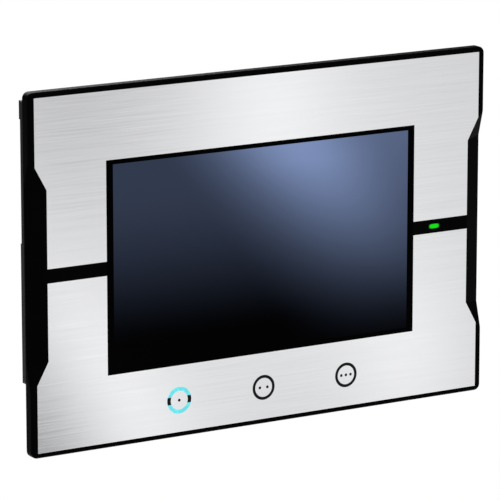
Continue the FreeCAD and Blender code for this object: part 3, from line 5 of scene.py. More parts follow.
import bmesh
import bpy
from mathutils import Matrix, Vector


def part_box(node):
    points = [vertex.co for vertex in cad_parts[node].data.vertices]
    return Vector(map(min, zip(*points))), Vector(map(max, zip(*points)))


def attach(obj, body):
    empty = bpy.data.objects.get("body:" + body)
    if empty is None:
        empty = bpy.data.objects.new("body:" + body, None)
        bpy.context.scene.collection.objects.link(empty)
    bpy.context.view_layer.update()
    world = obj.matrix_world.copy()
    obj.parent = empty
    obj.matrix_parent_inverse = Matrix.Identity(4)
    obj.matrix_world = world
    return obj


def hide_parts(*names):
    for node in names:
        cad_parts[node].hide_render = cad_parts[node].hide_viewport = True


# Studio picture of a panel-mounted operator terminal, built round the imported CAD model.
# Metres; +X is right seen from the front, the front faces -Y and +Z is up.

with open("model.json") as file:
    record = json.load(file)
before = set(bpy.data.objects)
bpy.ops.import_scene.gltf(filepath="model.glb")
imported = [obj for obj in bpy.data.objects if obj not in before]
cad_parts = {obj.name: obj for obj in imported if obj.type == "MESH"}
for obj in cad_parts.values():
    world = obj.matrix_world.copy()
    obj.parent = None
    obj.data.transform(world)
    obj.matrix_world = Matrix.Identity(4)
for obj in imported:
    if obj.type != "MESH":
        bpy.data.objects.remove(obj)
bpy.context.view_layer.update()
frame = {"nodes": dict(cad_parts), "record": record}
MM = 0.001


# ---- camera ----------------------------------------------------------------------------------

CAMERA_AZIMUTH = math.radians(-30.57)
CAMERA_ELEVATION = math.radians(12.81)
CAMERA_DISTANCE = 1.730
CAMERA_TARGET = Vector((-0.0071, -0.0058, 0.0000))
CAMERA_LENS = 276.0


def direction(azimuth, elevation):
    """Unit vector from the object towards a place at that azimuth and elevation."""
    return Vector((math.sin(azimuth) * math.cos(elevation),
                   -math.cos(azimuth) * math.cos(elevation), math.sin(elevation)))


def make_camera():
    """Long lens, from the left and a little above."""
    data = bpy.data.cameras.new("camera")
    data.lens = CAMERA_LENS
    data.sensor_width = 36.0
    data.clip_start = 0.1
    data.clip_end = 30.0
    camera = bpy.data.objects.new("camera", data)
    bpy.context.scene.collection.objects.link(camera)
    back = direction(CAMERA_AZIMUTH, CAMERA_ELEVATION)
    camera.location = CAMERA_TARGET + back * CAMERA_DISTANCE
    camera.rotation_mode = "QUATERNION"
    camera.rotation_quaternion = (-back).to_track_quat("-Z", "Y")
    bpy.context.scene.camera = camera


# ---- shader helpers --------------------------------------------------------------------------

class Graph:
    """Short way to write the nodes of one material."""

    def __init__(self, name):
        self.material = bpy.data.materials.new(name)
        self.material.use_nodes = True
        self.tree = self.material.node_tree
        self.tree.nodes.clear()
        self.surface = self.tree.nodes.new("ShaderNodeBsdfPrincipled")
        output = self.tree.nodes.new("ShaderNodeOutputMaterial")
        self.tree.links.new(self.surface.outputs[0], output.inputs[0])
        self.coordinates = self.tree.nodes.new("ShaderNodeTexCoord").outputs["Object"]

    def put(self, socket, value):
        """Sets a socket to a constant, or links another socket to it."""
        if isinstance(value, bpy.types.NodeSocket):
            self.tree.links.new(value, socket)
        elif isinstance(value, (tuple, list)) and socket.type == "RGBA":
            socket.default_value = (*value[:3], 1.0)
        else:
            socket.default_value = value

    def shade(self, **values):
        """Inputs of the Principled shader, with underscores for the spaces."""
        for name, value in values.items():
            self.put(self.surface.inputs[name.replace("_", " ")], value)

    def maths(self, operation, first, second=0.0):
        """One math node."""
        node = self.tree.nodes.new("ShaderNodeMath")
        node.operation = operation
        self.put(node.inputs[0], first)
        self.put(node.inputs[1], second)
        return node.outputs[0]

    def fit(self, value, low, high, to_low, to_high, smooth=False):
        """Value moved from one range to another and held inside it."""
        node = self.tree.nodes.new("ShaderNodeMapRange")
        node.interpolation_type = "SMOOTHSTEP" if smooth else "LINEAR"
        for socket, number in zip(node.inputs, (value, low, high, to_low, to_high)):
            self.put(socket, number)
        return node.outputs[0]

    def noise(self, scale, detail=2.0, stretch=(1.0, 1.0, 1.0)):
        """Noise in object space, with scale in cycles for each metre."""
        mapping = self.tree.nodes.new("ShaderNodeMapping")
        self.put(mapping.inputs["Vector"], self.coordinates)
        mapping.inputs["Scale"].default_value = stretch
        node = self.tree.nodes.new("ShaderNodeTexNoise")
        self.put(node.inputs["Vector"], mapping.outputs[0])
        node.inputs["Scale"].default_value = scale
        node.inputs["Detail"].default_value = detail
        return node.outputs["Fac"]

    def axes(self):
        """X, Y and Z of the object-space point."""
        node = self.tree.nodes.new("ShaderNodeSeparateXYZ")
        self.put(node.inputs[0], self.coordinates)
        return node.outputs[0], node.outputs[1], node.outputs[2]

    def blend(self, factor, first, second):
        """Mix of two colours."""
        node = self.tree.nodes.new("ShaderNodeMix")
        node.data_type = "RGBA"
        self.put(node.inputs["Factor"], factor)
        self.put(node.inputs[6], first)
        self.put(node.inputs[7], second)
        return node.outputs[2]

    def scaled(self, colour, factor):
        """Colour multiplied by a grey value."""
        node = self.tree.nodes.new("ShaderNodeVectorMath")
        node.operation = "SCALE"
        node.inputs[0].default_value = colour
        self.put(node.inputs["Scale"], factor)
        return node.outputs[0]

    def bump(self, height, strength, distance):
        """Bump from a height, added to the surface normal."""
        node = self.tree.nodes.new("ShaderNodeBump")
        node.inputs["Strength"].default_value = strength
        node.inputs["Distance"].default_value = distance
        self.put(node.inputs["Height"], height)
        self.shade(Normal=node.outputs[0])

    def edges(self, radius):
        """1 on sharp edges and 0 on flats, from a rounded normal."""
        rounded = self.tree.nodes.new("ShaderNodeBevel")
        rounded.samples = 4
        rounded.inputs["Radius"].default_value = radius
        geometry = self.tree.nodes.new("ShaderNodeNewGeometry")
        dot = self.tree.nodes.new("ShaderNodeVectorMath")
        dot.operation = "DOT_PRODUCT"
        self.put(dot.inputs[0], rounded.outputs[0])
        self.put(dot.inputs[1], geometry.outputs["Normal"])
        return self.fit(dot.outputs["Value"], 0.98, 0.8, 0.0, 1.0)


# ---- materials -------------------------------------------------------------------------------

def moulded(name, colour, roughness, grain=3200.0, worn=1.7, gloss=0.5):
    """Spark-eroded plastic: fine grain, soft mottling and slightly polished edges."""
    graph = Graph(name)
    fine = graph.noise(grain, 2.0)
    broad = graph.noise(45.0, 3.0)
    tone = graph.fit(broad, 0.3, 0.7, 0.88, 1.12)
    edge = graph.edges(0.35 * MM)
    tone = graph.maths("MULTIPLY", tone, graph.fit(edge, 0.0, 1.0, 1.0, worn))
    rough = graph.fit(fine, 0.3, 0.7, roughness - 0.06, roughness + 0.06)
    rough = graph.maths("SUBTRACT", rough, graph.maths("MULTIPLY", edge, 0.12))
    graph.shade(Base_Color=graph.scaled(colour, tone), Roughness=rough, Specular_IOR_Level=gloss)
    graph.bump(fine, 0.25, 0.05 * MM)
    return graph.material


def polished_plastic(name, colour, roughness=0.16, gloss=0.5):
    """Smooth moulded plastic with faint flow marks."""
    graph = Graph(name)
    broad = graph.noise(60.0, 3.0)
    fine = graph.noise(1500.0, 1.0)
    graph.shade(Base_Color=graph.scaled(colour, graph.fit(broad, 0.3, 0.7, 0.9, 1.1)),
                Roughness=graph.fit(fine, 0.3, 0.7, roughness * 0.8, roughness * 1.25),
                Specular_IOR_Level=gloss)
    graph.bump(broad, 0.1, 0.03 * MM)
    return graph.material


def brushed(name, colour, roughness):
    """Metal with long fine scratches along X."""
    along = (1.0, 1.0, 60.0)
    graph = Graph(name)
    fine = graph.noise(26.0, 4.0, along)
    broad = graph.noise(7.0, 3.0, along)
    tone = graph.maths("ADD", graph.fit(fine, 0.25, 0.75, -0.04, 0.04),
                       graph.fit(broad, 0.25, 0.75, 0.988, 1.012))
    graph.shade(Base_Color=graph.scaled(colour, tone), Metallic=1.0,
                Roughness=graph.fit(fine, 0.25, 0.75, roughness - 0.03, roughness + 0.03),
                Anisotropic=0.6)
    upward = graph.tree.nodes.new("ShaderNodeCombineXYZ")
    upward.inputs[2].default_value = 1.0
    graph.shade(Tangent=upward.outputs[0])
    graph.bump(fine, 0.12, 0.02 * MM)
    return graph.material


def plated(name, colour, roughness=0.25):
    """Plated metal: bright, with small pits, smears and rubbed edges."""
    graph = Graph(name)
    smear = graph.noise(220.0, 4.0)
    pits = graph.noise(2600.0, 2.0)
    edge = graph.edges(0.25 * MM)
    tone = graph.maths("ADD", graph.fit(smear, 0.3, 0.7, 0.88, 1.06),
                       graph.maths("MULTIPLY", edge, 0.12))
    graph.shade(Base_Color=graph.scaled(colour, tone), Metallic=1.0,
                Roughness=graph.fit(smear, 0.3, 0.7, roughness - 0.07, roughness + 0.12))
    graph.bump(pits, 0.15, 0.02 * MM)
    return graph.material


def rubber(name, colour):
    """Dull elastomer with a dusty bloom."""
    graph = Graph(name)
    broad = graph.noise(90.0, 4.0)
    fine = graph.noise(3500.0, 2.0)
    graph.shade(Base_Color=graph.scaled(colour, graph.fit(broad, 0.3, 0.7, 0.8, 1.5)),
                Roughness=graph.fit(fine, 0.3, 0.7, 0.72, 0.88), Specular_IOR_Level=0.3)
    graph.bump(fine, 0.3, 0.06 * MM)
    return graph.material


def circuit(name):
    """Green solder mask with copper tracks showing through it."""
    graph = Graph(name)
    tracks = graph.tree.nodes.new("ShaderNodeTexBrick")
    turn = graph.tree.nodes.new("ShaderNodeMapping")
    turn.inputs["Rotation"].default_value = (math.radians(90), 0, 0)
    graph.put(turn.inputs["Vector"], graph.coordinates)
    graph.put(tracks.inputs["Vector"], turn.outputs[0])
    for socket, number in (("Scale", 300.0), ("Mortar Size", 0.03), ("Brick Width", 3.2),
                           ("Row Height", 0.5)):
        tracks.inputs[socket].default_value = number
    weave = graph.noise(1400.0, 2.0)
    mask = graph.blend(tracks.outputs["Fac"], (0.006, 0.085, 0.035), (0.02, 0.17, 0.07))
    graph.shade(Base_Color=mask, Roughness=graph.fit(weave, 0.3, 0.7, 0.25, 0.42),
                Coat_Weight=0.4, Coat_Roughness=0.12)
    graph.bump(tracks.outputs["Fac"], 0.2, 0.03 * MM)
    return graph.material


def glowing(name, colour, strength, body_colour):
    """Translucent window lit from behind, brighter in patches."""
    graph = Graph(name)
    patches = graph.noise(900.0, 2.0)
    graph.shade(Base_Color=body_colour, Roughness=0.3,
                Emission_Color=graph.scaled(colour, graph.fit(patches, 0.3, 0.7, 0.85, 1.15)),
                Emission_Strength=strength)
    graph.bump(patches, 0.1, 0.02 * MM)
    return graph.material


def status_lens(name):
    """Green window: lit in the middle, fading to its dark rim."""
    graph = Graph(name)
    low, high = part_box("status_light_pipe")
    x, _, z = graph.axes()
    away = []
    for value, first, last in ((x, low.x, high.x), (z, low.z, high.z)):
        off = graph.maths("SUBTRACT", value, (first + last) / 2)
        share = graph.maths("DIVIDE", off, (last - first) / 2)
        away.append(graph.maths("POWER", graph.maths("ABSOLUTE", share), 3.0))
    lit = graph.fit(graph.maths("ADD", away[0], away[1]), 0.25, 1.0, 1.0, 0.0, smooth=True)
    haze = graph.noise(900.0, 2.0)
    graph.shade(Base_Color=(0.004, 0.02, 0.004), Roughness=graph.fit(haze, 0.3, 0.7, 0.15, 0.3),
                Specular_IOR_Level=0.1,
                Emission_Color=graph.scaled((0.0, 0.72, 0.0), lit), Emission_Strength=1.0)
    graph.bump(haze, 0.1, 0.02 * MM)
    return graph.material


def clear_plastic(name, colour):
    """Clear moulding, slightly hazy."""
    graph = Graph(name)
    haze = graph.noise(300.0, 3.0)
    graph.shade(Base_Color=graph.scaled(colour, graph.fit(haze, 0.3, 0.7, 0.92, 1.0)),
                Roughness=graph.fit(haze, 0.3, 0.7, 0.08, 0.25), Transmission_Weight=0.6, IOR=1.49)
    return graph.material


def label(name):
    """Blank foil label with a thin printed border."""
    graph = Graph(name)
    low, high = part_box("rating_label")
    x, _, z = graph.axes()
    inset = 1.6 * MM
    line = 0.35 * MM
    half_x, half_z = (high.x - low.x) / 2, (high.z - low.z) / 2
    off_x = graph.maths("ABSOLUTE", graph.maths("SUBTRACT", x, (low.x + high.x) / 2))
    off_z = graph.maths("ABSOLUTE", graph.maths("SUBTRACT", z, (low.z + high.z) / 2))
    past_x = graph.maths("SUBTRACT", off_x, half_x - inset)
    past_z = graph.maths("SUBTRACT", off_z, half_z - inset)
    past = graph.maths("MAXIMUM", past_x, past_z)
    border = graph.maths("LESS_THAN", graph.maths("ABSOLUTE", past), line)
    grain = graph.noise(900.0, 3.0)
    graph.shade(Base_Color=graph.blend(border, (0.62, 0.63, 0.64), (0.03, 0.03, 0.03)),
                Metallic=0.6, Roughness=graph.fit(grain, 0.3, 0.7, 0.3, 0.45))
    graph.bump(grain, 0.1, 0.02 * MM)
    return graph.material


# Painted reflection on the screen: a blue-violet soft-box highlight, painted into the glass's
# emission, that falls in from the upper right and fades out towards the bottom.  Lengths are in
# millimetres from the middle of the screen.
REFLECTION_TINT = (0.422, 0.568, 1.0)
LEFT_TONE, LEFT_FROM, LEFT_TO = 0.074, -37.0, 40.0
RIGHT_TONE, RIGHT_FROM, RIGHT_TO = 0.254, -55.0, 78.4
EDGE_X, EDGE_SLOPE, EDGE_WIDE = 8.4, 0.707, 55.0
HIGHLIGHT_PEAK, HIGHLIGHT_X, HIGHLIGHT_SLOPE, HIGHLIGHT_WIDE = 0.267, 52.7, 0.737, 28.2
HIGHLIGHT_FROM, HIGHLIGHT_HIGH = -41.9, 80.4


def screen_glass(name):
    """Dark touch glass, with a painted reflection (a blue-violet highlight gradient in its emission)
    inside the printed border.
    """
    graph = Graph(name)
    x, _, z = graph.axes()
    x = graph.maths("DIVIDE", x, MM)
    z = graph.maths("DIVIDE", z, MM)
    left = graph.fit(z, LEFT_FROM, LEFT_TO, 0.0, LEFT_TONE, smooth=True)
    right = graph.fit(z, RIGHT_FROM, RIGHT_TO, 0.0, RIGHT_TONE, smooth=True)
    across = graph.maths("ADD", x, graph.maths("MULTIPLY", z, EDGE_SLOPE))
    side = graph.fit(across, EDGE_X - EDGE_WIDE / 2, EDGE_X + EDGE_WIDE / 2, 0.0, 1.0, smooth=True)
    gain = graph.maths("MULTIPLY", side, graph.maths("SUBTRACT", right, left))
    fade = graph.maths("ADD", left, gain)
    away = graph.maths("ADD", x, graph.maths("MULTIPLY", z, HIGHLIGHT_SLOPE))
    away = graph.maths("DIVIDE", graph.maths("SUBTRACT", away, HIGHLIGHT_X), HIGHLIGHT_WIDE)
    highlight_band = graph.maths("EXPONENT", graph.maths("MULTIPLY", graph.maths("MULTIPLY", away, away), -1))
    rise = graph.fit(z, HIGHLIGHT_FROM, HIGHLIGHT_FROM + HIGHLIGHT_HIGH, 0.0, 1.0)
    rise = graph.maths("MULTIPLY", graph.maths("MULTIPLY", rise, rise), HIGHLIGHT_PEAK)
    tone = graph.maths("ADD", fade, graph.maths("MULTIPLY", highlight_band, rise))
    smudge = graph.noise(35.0, 4.0)
    # The emission colour is painted reflection: the soft-box highlight and its fade, painted into the
    # glass the same from every side.
    graph.shade(Base_Color=(0.0003, 0.0003, 0.0004),
                Roughness=graph.fit(smudge, 0.3, 0.7, 0.05, 0.11), Specular_IOR_Level=0.01,
                Emission_Color=graph.scaled(REFLECTION_TINT, tone), Emission_Strength=1.0)
    graph.bump(smudge, 0.02, 0.05 * MM)
    return graph.material


def make_finishes():
    """One material for each slot of the record."""
    dark = (0.0008, 0.0008, 0.001)
    finishes = {
        "bezel_plastic": moulded("bezel_plastic", dark, 0.42, gloss=0.02),
        "case_plastic": moulded("case_plastic", (0.0075, 0.0078, 0.0088), 0.45, gloss=0.3),
        "cover_plastic": moulded("cover_plastic", (0.011, 0.0112, 0.0125), 0.45, gloss=0.35),
        "trim_aluminium": brushed("trim_aluminium", (0.922, 0.927, 0.945), 0.15),
        "border_gloss": polished_plastic("border_gloss", (0.0003, 0.0003, 0.0004), 0.08, 0.01),
        "screen_glass": screen_glass("screen_glass"),
        "key_ink": polished_plastic("key_ink", (0.003, 0.003, 0.0035), 0.3, 0.15),
        "key_glow": glowing("key_glow", (0.10, 0.70, 0.76), 1.0, (0.06, 0.12, 0.13)),
        "light_green": status_lens("light_green"),
        "light_guide": clear_plastic("light_guide", (0.85, 0.9, 0.92)),
        "seal_rubber": rubber("seal_rubber", (0.018, 0.018, 0.019)),
        "foam": rubber("foam", (0.05, 0.05, 0.052)),
        "sheet_steel": plated("sheet_steel", (0.62, 0.63, 0.65), 0.34),
        "backlight_white": polished_plastic("backlight_white", (0.8, 0.8, 0.78), 0.4),
        "cell_glass": polished_plastic("cell_glass", (0.02, 0.02, 0.03), 0.06),
        "board_green": circuit("board_green"),
        "chip_black": moulded("chip_black", (0.02, 0.02, 0.021), 0.5, grain=6000.0),
        "can_metal": plated("can_metal", (0.75, 0.75, 0.77), 0.25),
        "converter_black": moulded("converter_black", (0.03, 0.03, 0.032), 0.4),
        "sink_aluminium": brushed("sink_aluminium", (0.6, 0.61, 0.62), 0.4),
        "flex_amber": polished_plastic("flex_amber", (0.35, 0.13, 0.02), 0.2),
        "screw_steel": plated("screw_steel", (0.70, 0.70, 0.72), 0.22),
        "label_foil": label("label_foil"),
        "plug_green": moulded("plug_green", (0.02, 0.17, 0.06), 0.42, worn=1.3),
        "connector_black": moulded("connector_black", (0.016, 0.016, 0.017), 0.4),
        "connector_metal": plated("connector_metal", (0.76, 0.76, 0.78), 0.2),
        "contact_gold": plated("contact_gold", (0.85, 0.58, 0.22), 0.18),
        "button_grey": moulded("button_grey", (0.28, 0.29, 0.30), 0.4, worn=1.2),
        "lever_white": moulded("lever_white", (0.7, 0.7, 0.68), 0.4, worn=1.1),
        "card_blue": moulded("card_blue", (0.01, 0.03, 0.11), 0.4, worn=1.3),
        "battery_wrap": polished_plastic("battery_wrap", (0.05, 0.1, 0.3), 0.2),
    }
    return finishes


# ---- CAD nodes -------------------------------------------------------------------------------

SHEET_BEVEL = 0.05
BEVELS = {"upper_trim_plate": SHEET_BEVEL, "lower_trim_plate": SHEET_BEVEL, "front_bezel": 0.25,
          "rear_case": 0.35, "rear_cover": 0.35, "window_border": 0.03, "key_light_arcs": 0.02,
          "key_marks": 0.02, "rating_label": 0.03, "touch_glass": 0.05, "lcd_frame": 0.1,
          "touch_gasket": 0.1, "display_flex": 0.03, "memory_card": 0.2}
USUAL_BEVEL = 0.15


def soften(node, width):
    """Joins an imported node's faces and rounds its edges; the trim sheets stay flat-shaded."""
    weld = node.modifiers.new("weld", "WELD")
    weld.merge_threshold = 0.002 * MM
    bevel = node.modifiers.new("bevel", "BEVEL")
    bevel.width = width * MM
    bevel.segments = 2
    bevel.limit_method = "ANGLE"
    bevel.angle_limit = math.radians(35)
    bevel.miter_outer = "MITER_ARC"
    if width == SHEET_BEVEL:
        return
    bevel.harden_normals = True
    flat = node.modifiers.new("flat", "WEIGHTED_NORMAL")
    flat.weight = 100
    flat.keep_sharp = True
    for polygon in node.data.polygons:
        polygon.use_smooth = True


def dress_nodes(finishes):
    """Gives every CAD node the finish of its slot, and rounded edges."""
    slots = {row["node"]: row["material_slot"] for row in frame["record"]["subparts"]}
    for name, node in frame["nodes"].items():
        node.data.materials.clear()
        node.data.materials.append(finishes[slots[name]])
        soften(node, BEVELS.get(name, USUAL_BEVEL))


# ---- detail pieces ---------------------------------------------------------------------------
# Lengths are in millimetres and places come from the boxes of the CAD nodes.


def corners(node):
    """Lowest and highest corner of a CAD node in millimetres."""
    low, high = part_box(node)
    return low / MM, high / MM


class Piece:
    """One mesh put together from small closed shapes, in millimetres."""

    def __init__(self):
        self.shape = bmesh.new()

    def loops(self, rings, closed=True):
        """Skin over a list of rings with the same number of points, with both ends filled."""
        made = [[self.shape.verts.new(Vector(point) * MM) for point in ring] for ring in rings]
        count = len(made[0])
        for first, second in zip(made, made[1:]):
            for i in range(count):
                j = (i + 1) % count
                self.shape.faces.new((first[i], first[j], second[j], second[i]))
        if closed:
            self.shape.faces.new(list(reversed(made[0])))
            self.shape.faces.new(made[-1])
        else:
            for i in range(count):
                j = (i + 1) % count
                self.shape.faces.new((made[-1][i], made[-1][j], made[0][j], made[0][i]))

    def prism(self, outline, axis, first, last):
        """Outline of two-dimensional points pushed along an axis."""
        def place(a, b, level):
            return {"x": (level, a, b), "y": (a, level, b), "z": (a, b, level)}[axis]
        self.loops([[place(a, b, level) for a, b in outline] for level in (first, last)])

    def bar(self, x, y, z):
        """Straight bar between two limits on each axis."""
        self.prism([(x[0], y[0]), (x[1], y[0]), (x[1], y[1]), (x[0], y[1])], "z", *z)

    def disc(self, centre, radius, axis, first, last, sides=32):
        """Round or many-sided rod."""
        turn = math.tau / sides
        self.prism([(centre[0] + radius * math.cos(i * turn), centre[1] + radius * math.sin(i * turn))
                    for i in range(sides)], axis, first, last)

    def lathe(self, centre, axis, profile, sides=32, closed=True):
        """Rings of (level, radius) round an axis; radius may be a function of the angle."""
        rings = []
        for level, radius in profile:
            ring = []
            for i in range(sides):
                angle = math.tau * i / sides
                size = radius(angle) if callable(radius) else radius
                a, b = centre[0] + size * math.cos(angle), centre[1] + size * math.sin(angle)
                ring.append({"x": (level, a, b), "y": (a, level, b), "z": (a, b, level)}[axis])
            rings.append(ring)
        self.loops(rings, closed)

    def wire(self, points, radius, sides=8):
        """Round wire through a list of points."""
        rings = []
        for i, point in enumerate(points):
            here = Vector(point)
            ahead = Vector(points[min(i + 1, len(points) - 1)])
            behind = Vector(points[max(i - 1, 0)])
            way = (ahead - behind).normalized()
            guide = Vector((0, 0, 1)) if abs(way.z) < 0.9 else Vector((1, 0, 0))
            side = way.cross(guide).normalized()
            over = side.cross(way)
            rings.append([here + (side * math.cos(math.tau * j / sides)
                                  + over * math.sin(math.tau * j / sides)) * radius
                          for j in range(sides)])
        self.loops(rings)

    def done(self, name, body, finish, bevel=0.08, replaces=()):
        """Makes the object, rounds its edges and lets it ride on a body."""
        bmesh.ops.recalc_face_normals(self.shape, faces=self.shape.faces)
        mesh = bpy.data.meshes.new(name)
        self.shape.to_mesh(mesh)
        self.shape.free()
        mesh.materials.append(finishes[finish])
        for polygon in mesh.polygons:
            polygon.use_smooth = True
        piece = bpy.data.objects.new(name, mesh)
        bpy.context.scene.collection.objects.link(piece)
        if bevel:
            edge = piece.modifiers.new("bevel", "BEVEL")
            edge.width = bevel * MM
            edge.segments = 2
            edge.limit_method = "ANGLE"
            edge.angle_limit = math.radians(40)
            edge.harden_normals = True
        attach(piece, body)
        if replaces:
            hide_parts(*replaces)
        return piece


def rounded(x, y, radius, steps=5):
    """Outline of a rectangle with rounded corners."""
    left, right = x[0] + radius, x[1] - radius
    near, far = y[0] + radius, y[1] - radius
    points = []
    for centre_x, centre_y, start in ((right, far, 0), (left, far, 90), (left, near, 180),
                                      (right, near, 270)):
        for i in range(steps + 1):
            angle = math.radians(start + 90 * i / steps)
            points.append((centre_x + radius * math.cos(angle), centre_y + radius * math.sin(angle)))
    return points


NET_PITCH, NET_HALF, NET_WIRES, NET_WIRE_PITCH = 18.0, 8.0, 8, 1.016


def network_details():
    """Spring contacts, light windows and shield springs of the two network sockets."""
    low, _ = corners("network_ports")
    wires, lights, springs = Piece(), Piece(), Piece()
    for i in range(2):
        x = low.x + NET_HALF + NET_PITCH * i
        for k in range(NET_WIRES):
            at = x + (k - (NET_WIRES - 1) / 2) * NET_WIRE_PITCH
            front, mouth = low.y + 1.8, low.z
            path = [(at, front + 0.2, mouth + 1.6), (at, front + 0.35, mouth + 3.0),
                    (at, front + 1.2, mouth + 6.0), (at, front + 2.3, mouth + 9.0),
                    (at, front + 3.0, mouth + 11.5), (at, front + 2.9, mouth + 13.0)]
            wires.wire(path, 0.2)
        for side in (-1, 1):
            spot = x + side * 5.4
            lights.prism(rounded((spot - 1.5, spot + 1.5), (low.y + 10.7, low.y + 12.3), 0.3),
                         "z", low.z - 0.12, low.z + 0.6)
            wall = x + side * (NET_HALF - 2.25)
            springs.prism([(wall, low.z + 1.0), (wall - side * 0.5, low.z + 3.5),
                           (wall - side * 0.45, low.z + 4.0), (wall, low.z + 5.6)], "y",
                          low.y + 4.6, low.y + 7.6)
    wires.done("network_contacts", "housing", "contact_gold", 0)
    lights.done("network_lights", "housing", "light_guide", 0.1)
    springs.done("network_shield_springs", "housing", "connector_metal", 0.05)


USB_PITCH, USB_HALF = 16.0, 6.7


def usb_details():
    """Contact strips and shell springs of the flat and square sockets."""
    low, high = corners("usb_host_ports")
    strips, springs = Piece(), Piece()
    for i in range(2):
        x = low.x + USB_HALF + USB_PITCH * i
        level = low.y + 2.5
        for at in (-3.5, -1.0, 1.0, 3.5):
            strips.bar((x + at - 0.5, x + at + 0.5), (level - 0.05, level + 0.1),
                       (low.z + 2.0, low.z + 10.5))
        for at in (-3.0, 3.0):
            springs.prism([(high.y - 0.4, low.z + 1.0), (high.y - 0.75, low.z + 2.4),
                           (high.y - 0.95, low.z + 4.4), (high.y - 0.4, low.z + 6.8)], "x",
                          x + at - 0.8, x + at + 0.8)
    low, high = corners("usb_device_port")
    middle = (low.x + high.x) / 2
    for at in (-1.3, 1.3):
        for level in (low.y + 3.75, low.y + 7.05):
            strips.bar((middle + at - 0.5, middle + at + 0.5), (level, level + 0.1),
                       (low.z + 2.0, low.z + 9.0))
    strips.done("usb_contacts", "housing", "contact_gold", 0.04)
    springs.done("usb_shell_springs", "housing", "connector_metal", 0.06)


CONTACT_PITCH, CONTACT_ROW = 2.77, 1.42
NUT_SIDE, NUT_THREAD, NUT_TURNS = 2.5, 1.17, 5
THREAD_PITCH = 0.7


def serial_details():
    """Contact rims of the serial connector and the thread of its jack nuts."""
    low, high = corners("serial_insert")
    middle = ((low.x + high.x) / 2, (low.y + high.y) / 2)
    rims = Piece()
    face = low.z
    for count, shift in ((5, -CONTACT_ROW), (4, CONTACT_ROW)):
        for i in range(count):
            centre = (middle[0] + (i - (count - 1) / 2) * CONTACT_PITCH, middle[1] + shift)
            rims.lathe(centre, "z", [(face - 0.02, 0.36), (face - 0.08, 0.5), (face + 0.3, 0.54),
                                     (face + 3.0, 0.54), (face + 3.0, 0.36)], 16, closed=False)
    rims.done("serial_contacts", "housing", "contact_gold", 0)
    low, high = corners("serial_jack_nuts")
    rims = Piece()
    middle_y = (low.y + high.y) / 2
    steps = 24
    for middle_x in (low.x + NUT_SIDE, high.x - NUT_SIDE):
        path = [(middle_x + NUT_THREAD * math.cos(math.tau * i / steps),
                 middle_y + NUT_THREAD * math.sin(math.tau * i / steps),
                 low.z + 0.3 + THREAD_PITCH * i / steps) for i in range(NUT_TURNS * steps)]
        rims.wire(path, 0.13, 6)
    rims.done("jack_nut_threads", "housing", "connector_metal", 0)


PIN_PITCH = 5.08


def power_details():
    """Wire clamps, guide ribs and end grip ridges of the power plug, and the header's locks."""
    low, high = corners("power_plug")
    middle = (low.x + high.x) / 2
    centre_y = low.y + 4.8
    cages, ribs = Piece(), Piece()
    for i in (-1, 0, 1):
        x = middle + PIN_PITCH * i
        cages.lathe((x, centre_y), "z", [(low.z + 1.2, 1.05), (low.z + 1.0, 1.42),
                                         (low.z + 5.5, 1.46), (low.z + 5.5, 1.05)], 4, closed=False)
        cages.bar((x - 1.2, x + 1.2), (centre_y - 1.3, centre_y - 0.7), (low.z + 2.2, low.z + 6.4))
        ribs.prism([(x - 2.2, low.z + 0.8), (x + 2.2, low.z + 0.8), (x + 1.9, low.z + 8.0),
                    (x - 1.9, low.z + 8.0)], "y", low.y - 0.35, low.y + 0.2)
    for side, edge in ((-1, low.x), (1, high.x)):
        for i in range(4):
            at = low.z + 1.8 + 1.5 * i
            ribs.bar(sorted((edge, edge + side * 0.3)), (low.y + 1.4, high.y - 1.4), (at, at + 0.7))
    cages.done("power_wire_clamps", "power_plug", "connector_metal", 0.08)
    ribs.done("power_plug_ribs", "power_plug", "plug_green", 0.12)
    low, high = corners("power_socket")
    locks = Piece()
    for x in (low.x + 2.5, high.x - 2.5):
        locks.prism([(x - 1.6, low.z - 0.1), (x + 1.6, low.z - 0.1), (x + 1.2, low.z - 0.9),
                     (x - 1.2, low.z - 0.9)], "y", low.y - 0.1, low.y + 0.75)
    locks.done("power_socket_locks", "housing", "plug_green", 0.1)


COVER_PROUD = 0.2
COVER_BURIED = 0.2
WHEEL_X, WHEEL_Z = 62.0, -8.0


